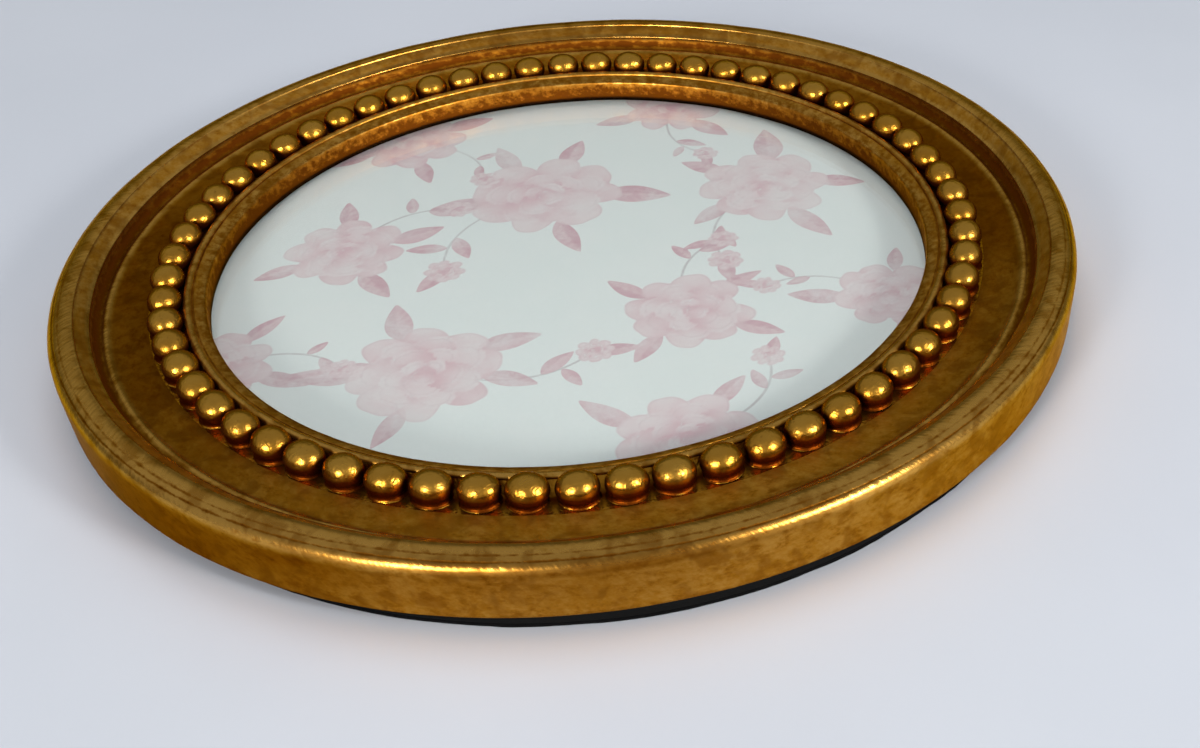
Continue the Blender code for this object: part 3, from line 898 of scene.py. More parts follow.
@dataclass
class Moulding:
    """The turned and gilded ring; its members are given from the sight edge outwards."""

    outer: float
    rib_rear: float
    wall_rear: float
    glass_radius: float
    glass_front: float
    lip_overlap: float = 0.0037
    rabbet_play: float = 0.0008
    lip_width: float = 0.0023
    lip_depth: float = 0.0054
    lip_slope: float = 0.00065
    lip_round: float = 0.0006
    quirk_width: float = 0.0003
    quirk_depth: float = 0.0002
    ridge_width: float = 0.0017
    ridge_rise: float = 0.0005
    channel_width: float = 0.0070
    channel_depth: float = 0.0030
    frieze_width: float = 0.0077
    frieze_drop: float = 0.0019
    frieze_rise: float = 0.0005
    edge_width: float = 0.0003
    edge_rise: float = 0.0004
    edge_run: float = 0.0014
    cove_drop: float = 0.0004
    cove_width: float = 0.0021
    cove_rise: float = 0.0022
    shoulder_width: float = 0.0040
    shoulder_rise: float = 0.0026
    crest_drop: float = 0.00265
    line_insets: tuple[float, float] = (0.00235, 0.00125)
    line_depths: tuple[float, float] = (0.00003, 0.00006)
    line_half: float = 0.00016
    step_inset: float = 0.00115
    step_round: float = 0.00035
    step_drop: float = 0.00006
    brow_round: float = 0.00035
    wall_draft: float = 0.00055
    wall_chamfer: float = 0.0004
    rib_width: float = 0.0090
    facets: int = 480
    waviness: float = 0.00007
    roughness: float = 0.000025
    ridge_chatter: float = 0.00009
    step_lap: float = 0.00004
    shoulder_bow: float = 0.00010
    ridge_fullness: float = 0.75
    channel_fade: float = 0.0015
    shoulder_fade: float = 0.0006
    # How the wall, the crest and the sides of the face are painted darker round the ring as painted shade.
    brow_above: float = 0.0012
    brow_run: float = 0.0020
    near_fall: int = 6
    far_fall: int = 4
    wall_age: float = 0.54
    wall_age_left: float = 0.85
    wall_age_right: float = 0.40
    wall_paling: float = 0.8
    crest_age: float = 0.05
    crest_age_outside: float = 0.85
    crest_age_far: float = 0.5
    age_mottle: float = 0.3

    @classmethod
    def from_frame(cls) -> Moulding:
        """Take the main sizes from the CAD nodes.

        Returns:
            The moulding.
        """
        ring_low, ring_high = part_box("moulding_ring")
        glass_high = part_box("glass_disc")[1]
        backing_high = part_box("backing_ring")[1]
        return cls(
            outer=ring_high.x, rib_rear=ring_low.z, wall_rear=backing_high.z + SEAT_GAP,
            glass_radius=glass_high.x, glass_front=glass_high.z)

    def __post_init__(self) -> None:
        """Work out the members' radii and heights."""
        self.sight = self.glass_radius - self.lip_overlap
        self.lip_outer = self.sight + self.lip_width
        self.ridge_inner = self.lip_outer + self.quirk_width
        self.channel_inner = self.ridge_inner + self.ridge_width
        self.channel_outer = self.channel_inner + self.channel_width
        self.frieze_outer = self.channel_outer + self.frieze_width
        self.cove_inner = self.frieze_outer + self.edge_width
        self.shoulder_inner = self.cove_inner + self.cove_width
        self.crest_middle = self.shoulder_inner + self.shoulder_width
        run, rise = self.shoulder_width, self.shoulder_rise
        self.shoulder_radius = (run * run + rise * rise) / (2 * rise)
        self.lip_rear = self.glass_front + SEAT_GAP
        self.lip_top = self.lip_rear + self.lip_depth
        self.ridge_top = self.lip_top + self.ridge_rise
        self.channel_floor = self.lip_top - self.channel_depth
        self.frieze_foot = self.lip_top - self.frieze_drop
        self.frieze_top = self.frieze_foot + self.frieze_rise
        self.cove_top = self.frieze_top + self.cove_drop + self.cove_rise
        self.crest_top = self.cove_top + self.shoulder_rise
        self.crest_foot = self.crest_top - self.crest_drop

    def wall_profile(self) -> list[Point]:
        """Give the wall, from the rear up to the crest.

        Returns:
            The points, as radii and heights, in order.
        """
        foot = self.outer - self.wall_draft
        line = straight((foot, self.wall_rear + self.wall_chamfer), (self.outer, self.crest_foot), 10)
        return [(foot - self.wall_chamfer, self.wall_rear)] + line[:-1]

    def rim_profile(self) -> list[Point]:
        """Give the crest with its two scribed lines and its inner shoulder, from the wall inwards.

        Returns:
            The points, as radii and heights, in order.
        """
        reach = (self.outer - self.crest_middle, self.crest_drop)
        points = []
        for radius, height in arc((self.crest_middle, self.crest_foot), reach, 0, 90, 44):
            for inset, depth in zip(self.line_insets, self.line_depths):
                gap = (radius - self.outer + inset) / self.line_half
                height -= depth * math.exp(-gap * gap)
            points.append((radius, height))
        steps = 5
        for k in range(1, steps + 1):
            points.append(self.on_crest(self.crest_middle - self.step_inset * k / steps))
        corner = points[-1]
        eased = self.step_round
        points += arc((corner[0], corner[1] - eased), (eased, eased), 105, 170, 5)
        foot = (points[-1][0] - self.step_lap, points[-1][1] - self.step_drop)
        brow = self.brow_round
        end = (self.shoulder_inner + brow, self.cove_top + brow)
        steps = 8
        for k, (radius, height) in enumerate(straight(foot, end, steps)[:-1]):
            points.append((radius, height + self.shoulder_bow * math.sin(math.pi * k / steps)))
        return points + arc((end[0], self.cove_top), (brow, brow), 110, 180, 6)

    def face_profile(self) -> list[Point]:
        """Give the cove, the low roll at its foot and the frieze, from the shoulder inwards.

        Returns:
            The points, as radii and heights, in order.
        """
        foot = self.cove_inner + self.edge_width
        cove = (self.shoulder_inner - foot, self.cove_top - self.frieze_top)
        points = arc((foot, self.cove_top), cove, 0, -90, 18)[1:]
        points += straight((foot, self.frieze_top), (self.channel_outer, self.frieze_foot), 32)[1:]
        return [(radius, height + self.roll_at(radius)) for radius, height in points]

    def roll_at(self, radius: float) -> float:
        """Give how far the low roll between the frieze and the cove rises at a radius."""
        aside = min(1.0, abs(radius - self.frieze_outer) / self.edge_run)
        return self.edge_rise * (1.0 + math.cos(math.pi * aside)) / 2

    def sight_profile(self) -> list[Point]:
        """Give the channel, the ridge, the quirk, the lip and the sight wall.

        Returns:
            The points, as radii and heights, in order.
        """
        half = self.ridge_width / 2
        rise = self.ridge_fullness * half
        points = [(self.channel_outer, self.channel_floor), (self.channel_inner, self.channel_floor)]
        points += arc((self.channel_inner - half, self.ridge_top - rise), (half, rise), 0, 180, 10)
        quirk = self.lip_top - self.quirk_depth
        points += [(self.ridge_inner, quirk), (self.lip_outer, quirk)]
        eased = self.quirk_width / 2
        points += arc((self.lip_outer - eased, self.lip_top - eased), (eased, eased), 0, 90, 3)
        lip = (self.sight + self.lip_round, self.lip_top - self.lip_slope - self.lip_round)
        points += arc(lip, (self.lip_round, self.lip_round), 90, 180, 6)
        return points + straight((self.sight, lip[1]), (self.sight, self.lip_rear), 5)[1:]

    def rear_profile(self) -> list[Point]:
        """Give the rabbet and the rib that the turn buttons are screwed to.

        Returns:
            The points, as radii and heights, in order.
        """
        rabbet = self.glass_radius + self.rabbet_play
        rib = rabbet + self.rib_width
        return [
            (rabbet, self.lip_rear), (rabbet, self.rib_rear), (rib, self.rib_rear), (rib, self.wall_rear)]

    def on_crest(self, radius: float) -> Point:
        """Give the point of the crest or of its shoulder at a radius.

        Args:
            radius: The distance from the middle of the frame.

        Returns:
            The radius and the height.
        """
        aside = radius - self.crest_middle
        if aside > 0:
            share = aside / (self.outer - self.crest_middle)
            return radius, self.crest_foot + self.crest_drop * math.sqrt(1 - share * share)
        drop = self.shoulder_radius - math.sqrt(self.shoulder_radius ** 2 - aside * aside)
        return radius, self.crest_top - drop

    def lines(self) -> list[Spot]:
        """Give the thin lines of the crest, which the gilt paints darker here and there.

        Returns:
            One spot for each line.
        """
        fine = self.on_crest(self.outer - self.line_insets[0])
        deep = self.on_crest(self.outer - self.line_insets[1])
        worn = self.on_crest(self.crest_middle - self.step_inset - self.step_round)
        return [
            Spot(*fine, 0.00022, 0.60),
            Spot(*deep, 0.00022, 0.95),
            Spot(worn[0], worn[1] - self.step_round - self.step_drop, 0.00024, 0.55),
        ]

    def recesses(self) -> list[Spot]:
        """Give the places where grime gathers and the red ground shows, painted darker as painted shade in
        the cove and on the sight wall, with a near-black painted shadow at the sight wall's foot.

        Returns:
            One spot for each place.
        """
        return [
            # The cove and the sight wall get painted shade as well as grime.
            Spot(self.cove_inner + 0.75 * self.cove_width, self.frieze_top + 0.0011, 0.0013, 1.25),
            Spot(self.sight, (self.lip_rear + self.lip_top) / 2, 0.0024, 1.05),
            Spot(self.channel_inner, self.channel_floor + 0.0010, 0.0014, 1.3),
            Spot(self.ridge_inner, self.lip_top - self.quirk_depth, 0.00030, 0.45),
            # Painted shadow: this strong spot gives the near-black line in the gap between the lip and the
            # glass.
            Spot(self.sight, self.lip_rear, 0.0011, 3.0),
            Spot(self.outer - self.wall_draft, self.wall_rear, 0.0009, 0.5),
        ]

    def depth_at(self, radius: float) -> float:
        """Give how far a radius belongs to the cove and the frieze, without the roll between them.

        Args:
            radius: The distance from the middle of the frame.

        Returns:
            A share from 0 to 1.
        """
        rise = held((radius - self.channel_inner) / self.channel_fade)
        fall = held((self.shoulder_inner - radius) / self.shoulder_fade)
        return rise * fall * (1.0 - self.roll_at(radius) / self.edge_rise)

    def age_at(self, place: Vector) -> float:
        """Give the painted shade at a place: on the sides of the face, on the wall, most on the left and
        paler towards its foot at the near side, and on the crest at the near and far sides.

        Args:
            place: A point of the moulding.

        Returns:
            The share of painted shade, from 0 to a little over 1.
        """
        radius = flat_radius(place)
        across = place.x / max(radius, WELD)
        along = place.y / max(radius, WELD)
        near = max(0.0, -along) ** self.near_fall
        far = max(0.0, along) ** self.far_fall
        below = (self.crest_foot + self.brow_above - place.z) / self.brow_run
        shares = [across * across * self.depth_at(radius)]
        if radius > self.crest_middle:
            sunk = held((self.crest_foot - place.z) / (self.crest_foot - self.wall_rear))
            pale = 1.0 - self.wall_paling * near * sunk ** 2
            slope = self.wall_age_left if across < 0 else self.wall_age_right
            shares.append(held(below) * (self.wall_age - slope * across) * pale)
        if radius > self.shoulder_inner and below < 1.0:
            outside = max(0.0, radius - self.crest_middle) / (self.outer - self.crest_middle)
            nearest = (self.crest_age + self.crest_age_outside * outside * outside) * near
            shares.append(nearest + self.crest_age_far * far)
        return min(1.0, max(shares)) * (1.0 + self.age_mottle * noise.noise(place * 60.0))

    def rubbed_places(self) -> list[Spot]:
        """Give the places that hands and dusters have polished, which the gilt also paints lighter as
        painted highlights.

        Returns:
            One spot for each place.
        """
        return [
            Spot(*self.on_crest(self.outer - 0.0010), 0.0016, 1.0),
            Spot(*self.on_crest(self.crest_middle), 0.0014, 0.7),
            Spot(self.shoulder_inner + 0.0002, self.cove_top + 0.0002, 0.0006, 1.0),
            Spot(*self.on_crest(self.crest_middle - self.step_inset), 0.0006, 0.5),
            Spot(self.frieze_outer, self.frieze_top + self.edge_rise, 0.0009, 0.9),
            Spot((self.ridge_inner + self.channel_inner) / 2, self.ridge_top, 0.0006, 0.8),
            Spot(self.sight + 0.0003, self.lip_top - self.lip_slope, 0.0005, 0.8),
        ]

    def girths(self, profile: np.ndarray, sections: np.ndarray) -> np.ndarray:
        """Give the length along the profile at which each point of the ring lies.

        Args:
            profile: The profile's points, in order.
            sections: The radius and height of each point of the ring.

        Returns:
            The lengths.
        """
        lengths = np.concatenate(([0.0], np.cumsum(np.hypot(*np.diff(profile, axis=0).T))))
        nearest = np.full(len(sections), np.inf)
        result = np.zeros(len(sections))
        for point, length in zip(profile, lengths):
            gap = np.hypot(*(sections - point).T)
            result = np.where(gap < nearest, length, result)
            nearest = np.minimum(gap, nearest)
        return result

    def unevenness(self, place: Vector) -> float:
        """Give how far the hand-finished face stands from the true one.

        Args:
            place: A point of the true face.

        Returns:
            The distance along the face's normal.
        """
        amount = self.waviness * noise.noise(place * 95.0) + self.roughness * noise.noise(place * 520.0)
        if self.lip_outer - 0.0002 < flat_radius(place) < self.channel_inner:
            amount += self.ridge_chatter * noise.noise(place * 800.0)
        return amount

    def build(self, material: Material) -> Piece:
        """Turn the profile, store its worn places and painted light, and roughen it by hand.

        Args:
            material: The gilt.

        Returns:
            The moulding.
        """
        profile = self.wall_profile() + self.rim_profile() + self.face_profile()
        profile += self.sight_profile() + self.rear_profile()
        shape = turned(profile, self.facets, True)
        wear_and_painted_light = {"dirt_and_shade": self.recesses(), "line": self.lines(), "rub_and_highlight": self.rubbed_places()}
        shape.verts.index_update()
        shape.normal_update()
        places = [point.co.copy() for point in shape.verts]
        sections = [(flat_radius(co), co.z) for co in places]
        for point in shape.verts:
            if point.co.z > self.wall_rear + self.wall_chamfer and flat_radius(point.co) > self.sight + WELD:
                point.co += point.normal * self.unevenness(point.co)
        piece = finish_piece("gilt_moulding", shape, material, "moulding_ring")
        for name, spots in wear_and_painted_light.items():
            store(piece.data, name, [sum(spot.share(*section) for spot in spots) for section in sections])
        store(piece.data, "deep", [self.depth_at(radius) for radius, _ in sections])
        # Painted shade round the ring.
        store(piece.data, "side_shade", [self.age_at(co) for co in places])
        store(piece.data, "girth", self.girths(np.array(profile), np.array(sections)))
        return piece


@dataclass
class PearlStrip:
    """The ribbon of gilt pearls that lies in the moulding's channel."""

    outer: float
    low: float
    top: float
    channel_inner: float
    count: int = 62
    phase: float = math.radians(0.64)
    spacing: float = 0.0005
    flatness: float = 0.88
    ribbon_thickness: float = 0.0011
    clearance: float = 0.00015
    facets: int = 24
    ribbon_facets: int = 360
    ribbon_sink: float = 0.00010
    ribbon_rise: float = 0.0016
    smallest: float = 0.975
    lean: float = 3.0
    tip: float = 2.5
    drift_across: float = 0.00006
    drift_along: float = 0.00012
    lumps: float = 0.00010
    flange: float = 0.00012
    dirt_level: float = 0.40
    dirt_run: float = 0.56
    gap_start: float = 0.68
    gap_dirt: float = 0.6
    seed: int = 5

    @classmethod
    def from_frame(cls, moulding: Moulding) -> PearlStrip:
        """Take the main sizes from the CAD node."""
        low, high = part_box("bead_strip")
        return cls(outer=high.x, low=low.z, top=high.z, channel_inner=moulding.channel_inner)

    def __post_init__(self) -> None:
        """Work out the pearls' size and place."""
        self.inner = self.channel_inner + self.clearance
        self.radius = (self.outer - self.inner) / 2
        self.circle = (self.outer + self.inner) / 2
        self.height = self.top - self.radius
        self.ribbon_top = self.low + self.ribbon_thickness
        self.half_length = (FULL_TURN * self.circle / self.count - self.spacing) / 2

    def pearl_profile(self) -> list[Point]:
        """Give a pearl's section, from its top to the thin fillet that spreads on the ribbon.

        Returns:
            The points, as radii and heights, in order.
        """
        sink = (self.ribbon_top - self.height) / self.radius
        points = [(0.0, self.flatness)] + arc((0.0, 0.0), (1.0, self.flatness), 90, 0, 11)[1:]
        points += arc((0.0, 0.0), (1.0, 1.0), -6, -24, 3)
        points += [(0.90, sink + 0.24), (0.90, sink + 0.12), (0.92, sink + 0.05)]
        points += [(0.955, sink + 0.02), (1.0, sink - 0.03)]
        return [(self.radius * across, self.radius * up) for across, up in points]

    def pearl(self, angle: float, draw: random.Random) -> Shape:
        """Make one pearl, a little uneven as cast composition is.

        Args:
            angle: Where it stands round the ring.
            draw: The source of the unevenness.

        Returns:
            The pearl in its place.
        """
        shape = turned(self.pearl_profile(), self.facets, False)
        size = draw.uniform(self.smallest, 1.0)
        stretch = size * self.half_length / self.radius
        lean = Matrix.Rotation(math.radians(draw.uniform(-self.lean, self.lean)), 4, "X")
        tip = Matrix.Rotation(math.radians(draw.uniform(-self.tip, self.tip)), 4, "Y")
        across = draw.uniform(-self.drift_across, self.drift_across)
        along = draw.uniform(-self.drift_along, self.drift_along)
        sample = Vector((draw.uniform(0, 9), draw.uniform(0, 9), draw.uniform(0, 9)))
        shape.normal_update()
        for point in shape.verts:
            point.co += point.normal * self.lumps * noise.noise(point.co * 330.0 + sample)
        turn = Matrix.Rotation(angle, 4, "Z") @ Matrix.Translation((self.circle, 0.0, self.height))
        sizing = Matrix.Diagonal((size, stretch, size, 1.0))
        move(shape, turn @ Matrix.Translation((across, along, 0.0)) @ lean @ tip @ sizing)
        return shape

    def ribbon(self) -> Shape:
        """Turn the ribbon, which lies flush with the frieze and sweeps up to the ridge.

        Returns:
            The ribbon.
        """
        spread = 0.9 * self.clearance
        level = self.ribbon_top - self.ribbon_sink
        steps = 16
        line = straight((self.outer + spread, level), (self.inner - spread, level), steps)
        profile = [(line[0][0], self.low)]
        for k, (radius, height) in enumerate(line):
            share = k / steps
            bed = self.ribbon_sink * math.sin(math.pi * min(1.0, 1.5 * share))
            profile.append((radius, height + bed + self.ribbon_rise * max(0.0, 2 * share - 1) ** 2.5))
        profile.append((line[-1][0], self.low))
        return turned(profile, self.ribbon_facets, True)

    def dirt_on(self, point: Vector) -> float:
        """Give how dark a pearl's leaf is painted, with grime and painted shade low down and where pearls
        face each other, and pale patches on the flange as painted glints.

        Args:
            point: A point of a pearl.

        Returns:
            A share from 0 to 1.
        """
        # Flange: pale patches as painted glints, dark elsewhere.
        if point.z < self.ribbon_top + self.flange:
            return 0.1 if noise.noise(point * 420.0) > 0.12 else 0.8
        # Grime and painted shade low on each pearl and where pearls face each other.
        level = (point.z - self.height) / self.radius
        around = (math.atan2(point.y, point.x) - self.phase) * self.count / FULL_TURN
        aside = 2 * abs(around - round(around))
        gap = max(0.0, (aside - self.gap_start) / (1.0 - self.gap_start))
        return min(1.0, max(0.0, (self.dirt_level - level) / self.dirt_run) + self.gap_dirt * gap)

    def build(self, material: Material) -> Piece:
        """Set the pearls on the ribbon and store their painted light on the tops, and their grime and
        painted shade.

        Args:
            material: The pearls' gilt.

        Returns:
            The strip.
        """
        draw = random.Random(self.seed)
        shape = self.ribbon()
        tones = [0.3] * len(shape.verts)
        # Ribbon: lighter at its edges, with painted shade between the pearls in its middle.
        feet = [0.9 - 0.75 * abs(flat_radius(point.co) - self.circle) / self.radius for point in shape.verts]
        for k in range(self.count):
            pearl = self.pearl(self.phase + FULL_TURN * k / self.count, draw)
            tones += [draw.random()] * len(pearl.verts)
            feet += [self.dirt_on(point.co) for point in pearl.verts]
            add_shape(shape, pearl)
        levels = [(point.co.z - self.height) / self.radius for point in shape.verts]
        piece = finish_piece("pearl_strip", shape, material, "bead_strip")
        # Painted light: the pearls grow paler towards their tops.
        store(piece.data, "crown", np.clip((np.array(levels) - 0.1) / 0.9, 0.0, 1.0))
        store(piece.data, "foot", feet)
        store(piece.data, "tone", tones)
        return piece


@dataclass(frozen=True)
class Blossom:
    """An open flower of the print, in millimetres and degrees."""

    x: float
    y: float
    reach: float
    turn: float

    def beside(self, angle: float, share: float) -> Point:
        """Give the place at an angle, in radians, and at a share of the flower's reach from its middle."""
        away = share * self.reach
        return self.x + away * math.cos(angle), self.y + away * math.sin(angle)


@dataclass(frozen=True)
class Leaf:
    """A pointed leaf of the print, in millimetres and degrees."""

    x: float
    y: float
    length: float
    width: float
    turn: float
    bend: float


@dataclass(frozen=True)
class Stem:
    """A curved stem of the print, in millimetres."""

    start: Point
    pull: Point
    end: Point

    def points(self, steps: int) -> np.ndarray:
        """Give points along the stem.

        Args:
            steps: How many steps lie between its ends.

        Returns:
            One row for each point.
        """
        t = np.linspace(0.0, 1.0, steps + 1)[:, None]
        first, second, third = (np.array(p) for p in (self.start, self.pull, self.end))
        return (1 - t) ** 2 * first + 2 * t * (1 - t) * second + t ** 2 * third


class FlowerDesign:
    """A plain design of open flowers, leaves and stems, kept as distances to their outlines."""

    LAYERS = ((8, 0.60, 0.40, 0.31), (7, 0.42, 0.33, 0.27), (5, 0.24, 0.25, 0.22), (3, 0.10, 0.15, 0.13))
    SHOOTS = ((0.62, 55.0), (0.75, -50.0), (0.98, 10.0))
    FAR = -99.0
    STEM_HALF = 0.30
    STEM_STEPS = 22
    TONE_MARGIN = 0.6
    VEIN_GAP = 2.4
    MIDRIB = 0.28
    STEM_SWING = 0.55
    TIP_SHARE = 2.1
    PULL_SHARE = 1.5
    ROOT_SHARE = 0.72
    BUD_SHARE = 0.26

    def __init__(self, x: np.ndarray, y: np.ndarray, seed: int) -> None:
        """Start an empty design on points given in millimetres.

        Args:
            x: Where the points lie, in millimetres.
            y: Where they lie, in millimetres.
            seed: What starts the random draws.
        """
        self.x = x
        self.y = y
        self.draw = random.Random(seed)
        self.fields = {key: np.full(x.shape, self.FAR) for key in ("bloom", "leaf", "stem")}
        self.fields["bloom_tone"] = np.zeros(x.shape)
        self.fields["leaf_tone"] = np.zeros(x.shape)

    def local(self, x: float, y: float, turn: float) -> tuple[np.ndarray, np.ndarray]:
        """Give the design's points along and across a direction from a place.

        Args:
            x: The place, in millimetres.
            y: The place, in millimetres.
            turn: The direction, in degrees.

        Returns:
            The distances along and across.
        """
        angle = math.radians(turn)
        dx = self.x - x
        dy = self.y - y
        return dx * math.cos(angle) + dy * math.sin(angle), dy * math.cos(angle) - dx * math.sin(angle)

    def lay(self, kind: str, inside: np.ndarray, tone: np.ndarray) -> None:
        """Lay one shape over what is there.

        Args:
            kind: The field that the shape belongs to.
            inside: The distance to its outline, positive inside.
            tone: How deep its ink is.
        """
        field = self.fields[kind]
        covered = inside > 0
        self.fields[kind] = np.where(covered, inside, np.where(field > 0, field, np.maximum(field, inside)))
        self.fields[kind + "_tone"] = np.where(inside > -self.TONE_MARGIN, tone, self.fields[kind + "_tone"])

    def add_blossom(self, flower: Blossom) -> None:
        """Lay a flower's petals, the outer ones first.

        Args:
            flower: The flower.
        """
        draw = self.draw.uniform
        for petals, offset, length, width in self.LAYERS:
            start = flower.turn + draw(0.0, 60.0)
            for k in range(petals):
                turn = start + 360.0 * k / petals + draw(-7.0, 7.0)
                along, across = self.local(flower.x, flower.y, turn)
                half = flower.reach * length * draw(0.9, 1.1)
                wide = flower.reach * width * draw(0.9, 1.12)
                u = (along - flower.reach * offset) / half
                v = across / wide
                angle = np.arctan2(v, u)
                waves = 0.05 * np.sin(3 * angle + draw(0.0, 6.0))
                ripple = 1.0 + waves + 0.07 * np.exp(-8 * angle ** 2)
                inside = (1.0 - np.hypot(u, v) * ripple) * min(half, wide)
                tone = 0.42 + draw(-0.16, 0.16) - 0.40 * u + 0.22 * np.abs(v)
                self.lay("bloom", inside, tone)

    def add_leaf(self, leaf: Leaf) -> None:
        """Lay a pointed leaf, one half deeper than the other, with its veins.

        Args:
            leaf: The leaf.
        """
        along, across = self.local(leaf.x, leaf.y, leaf.turn)
        t = along / leaf.length
        across = across - leaf.bend * leaf.length * t * t
        body = np.clip(t, 0.0, 1.0)
        half = leaf.width * np.sin(math.pi * body ** 0.85) ** 0.9
        beyond = -np.hypot(np.abs(t - 0.5) * leaf.length, across)
        inside = np.where((t > 0) & (t < 1), half - np.abs(across), beyond)
        ribs = 0.14 * np.cos(2 * math.pi * (along - 0.9 * np.abs(across)) / self.VEIN_GAP)
        tone = 0.45 + self.draw.uniform(-0.15, 0.25) + 0.22 * np.sign(across) + ribs
        tone = tone - 0.45 * np.exp(-(across / self.MIDRIB) ** 2)
        self.lay("leaf", inside, tone)

    def add_stem(self, stem: Stem) -> None:
        """Draw a stem as the distance to a curved line.

        Args:
            stem: The stem.
        """
        points = stem.points(self.STEM_STEPS)
        for first, second in zip(points, points[1:]):
            run = second - first
            share = ((self.x - first[0]) * run[0] + (self.y - first[1]) * run[1]) / (run @ run)
            share = np.clip(share, 0.0, 1.0)
            gap = np.hypot(self.x - first[0] - share * run[0], self.y - first[1] - share * run[1])
            self.fields["stem"] = np.maximum(self.fields["stem"], self.STEM_HALF - gap)

    def add_spray(self, flower: Blossom, leaves: int, lean: float) -> None:
        """Lay a flower with leaves round it and a budding stem.

        Args:
            flower: The flower in the middle.
            leaves: How many leaves stand round it.
            lean: The direction in which its stem grows, in degrees.
        """
        draw = self.draw.uniform
        tip_angle = math.radians(lean) + self.draw.choice((-1.0, 1.0)) * self.STEM_SWING
        tip = flower.beside(tip_angle, self.TIP_SHARE)
        stem = Stem((flower.x, flower.y), flower.beside(math.radians(lean), self.PULL_SHARE), tip)
        self.add_stem(stem)
        for k in range(leaves):
            turn = lean + 180.0 + 360.0 * (k + 0.5) / leaves + draw(-16.0, 16.0)
            length = flower.reach * draw(0.75, 1.05)
            root = flower.beside(math.radians(turn), self.ROOT_SHARE)
            self.add_leaf(Leaf(*root, length, length * draw(0.17, 0.23), turn, draw(-0.2, 0.2)))
        for share, swing in self.SHOOTS:
            spot = stem.points(100)[int(100 * share)]
            turn = math.degrees(tip_angle) + swing + draw(-12.0, 12.0)
            length = flower.reach * draw(0.45, 0.65)
            self.add_leaf(Leaf(*spot, length, length * 0.20, turn, draw(-0.15, 0.15)))
        self.add_blossom(Blossom(*tip, self.BUD_SHARE * flower.reach, lean))
        self.add_blossom(flower)


@dataclass
class Glazing:
    """The glass and the printed sheet behind it."""

    radius: float
    glass_low: float
    glass_top: float
    print_low: float
    print_top: float
    arris: float = 0.0002
    facets: int = 180
    cells: int = 300
    depth_kept: float = 3.0
    seed: int = 23

    @classmethod
    def from_frame(cls) -> Glazing:
        """Take the sizes from the CAD nodes.

        Returns:
            The glass and the print.
        """
        glass_low, glass_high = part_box("glass_disc")
        print_low, print_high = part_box("print_sheet")
        return cls(glass_high.x, glass_low.z, glass_high.z, print_low.z, print_high.z)

    def build_glass(self, material: Material) -> Piece:
        """Turn the glass with its ground edge, clear to the light that falls through it.

        Args:
            material: The glass.

        Returns:
            The pane.
        """
        ground = self.radius - self.arris
        profile = [
            (0.0, self.glass_top), (0.5 * ground, self.glass_top), (ground, self.glass_top),
            (self.radius, self.glass_top - self.arris), (self.radius, self.glass_low + self.arris),
            (ground, self.glass_low), (0.5 * ground, self.glass_low), (0.0, self.glass_low)]
        shape = turned(profile, self.facets, False)
        piece = finish_piece("glass_pane", shape, material, "glass_disc")
        piece.visible_shadow = False
        piece.visible_diffuse = False
        return piece

    def sprays(self) -> list[tuple[Blossom, int, float]]:
        """Give each flower with its number of leaves and the direction of its stem.

        Returns:
            The sprays, in the order in which they are laid.
        """
        return [
            (Blossom(-4.0, 30.0, 17.0, 10.0), 5, 200.0),
            (Blossom(-47.0, 14.0, 13.0, 40.0), 4, 60.0),
            (Blossom(-30.0, -33.0, 15.5, 5.0), 5, 330.0),
            (Blossom(22.0, -22.0, 13.0, 70.0), 4, 100.0),
            (Blossom(44.0, 24.0, 15.0, 20.0), 5, 215.0),
            (Blossom(17.0, -62.0, 13.5, 30.0), 4, 20.0),
            (Blossom(-34.0, 60.0, 12.5, 15.0), 4, 340.0),
            (Blossom(28.0, 66.0, 12.0, 50.0), 4, 250.0),
            (Blossom(62.0, -24.0, 12.0, 0.0), 4, 130.0),
            (Blossom(-70.0, -24.0, 12.0, 25.0), 4, 20.0),
        ]

    def build_print(self, material: Material) -> Piece:
        """Make the sheet as a fine round grid and store the flower design on its points.

        Args:
            material: The printed paper.

        Returns:
            The sheet.
        """
        shape = bmesh.new()
        bmesh.ops.create_grid(shape, x_segments=self.cells, y_segments=self.cells, size=1.0)
        for point in shape.verts:
            x, y = point.co.x, point.co.y
            round_x = x * math.sqrt(1.0 - y * y / 2)
            round_y = y * math.sqrt(1.0 - x * x / 2)
            point.co = (self.radius * round_x, self.radius * round_y, self.print_top)
        rim = [edge for edge in shape.edges if edge.is_boundary]
        skirt = bmesh.ops.extrude_edge_only(shape, edges=rim)
        low_points = [item for item in skirt["geom"] if isinstance(item, bmesh.types.BMVert)]
        low_edges = [item for item in skirt["geom"] if isinstance(item, bmesh.types.BMEdge)]
        bmesh.ops.translate(shape, verts=low_points, vec=(0.0, 0.0, self.print_low - self.print_top))
        bmesh.ops.contextual_create(shape, geom=[edge for edge in low_edges if edge.is_boundary])
        bmesh.ops.recalc_face_normals(shape, faces=shape.faces[:])
        places = np.array([point.co for point in shape.verts]) * MILLIMETRES
        design = FlowerDesign(places[:, 0], places[:, 1], self.seed)
        for flower, leaves, lean in self.sprays():
            design.add_spray(flower, leaves, lean)
        piece = finish_piece("flower_print", shape, material, "print_sheet")
        for key, values in design.fields.items():
            store(piece.data, key, np.clip(values, -self.depth_kept, self.depth_kept))
        return piece


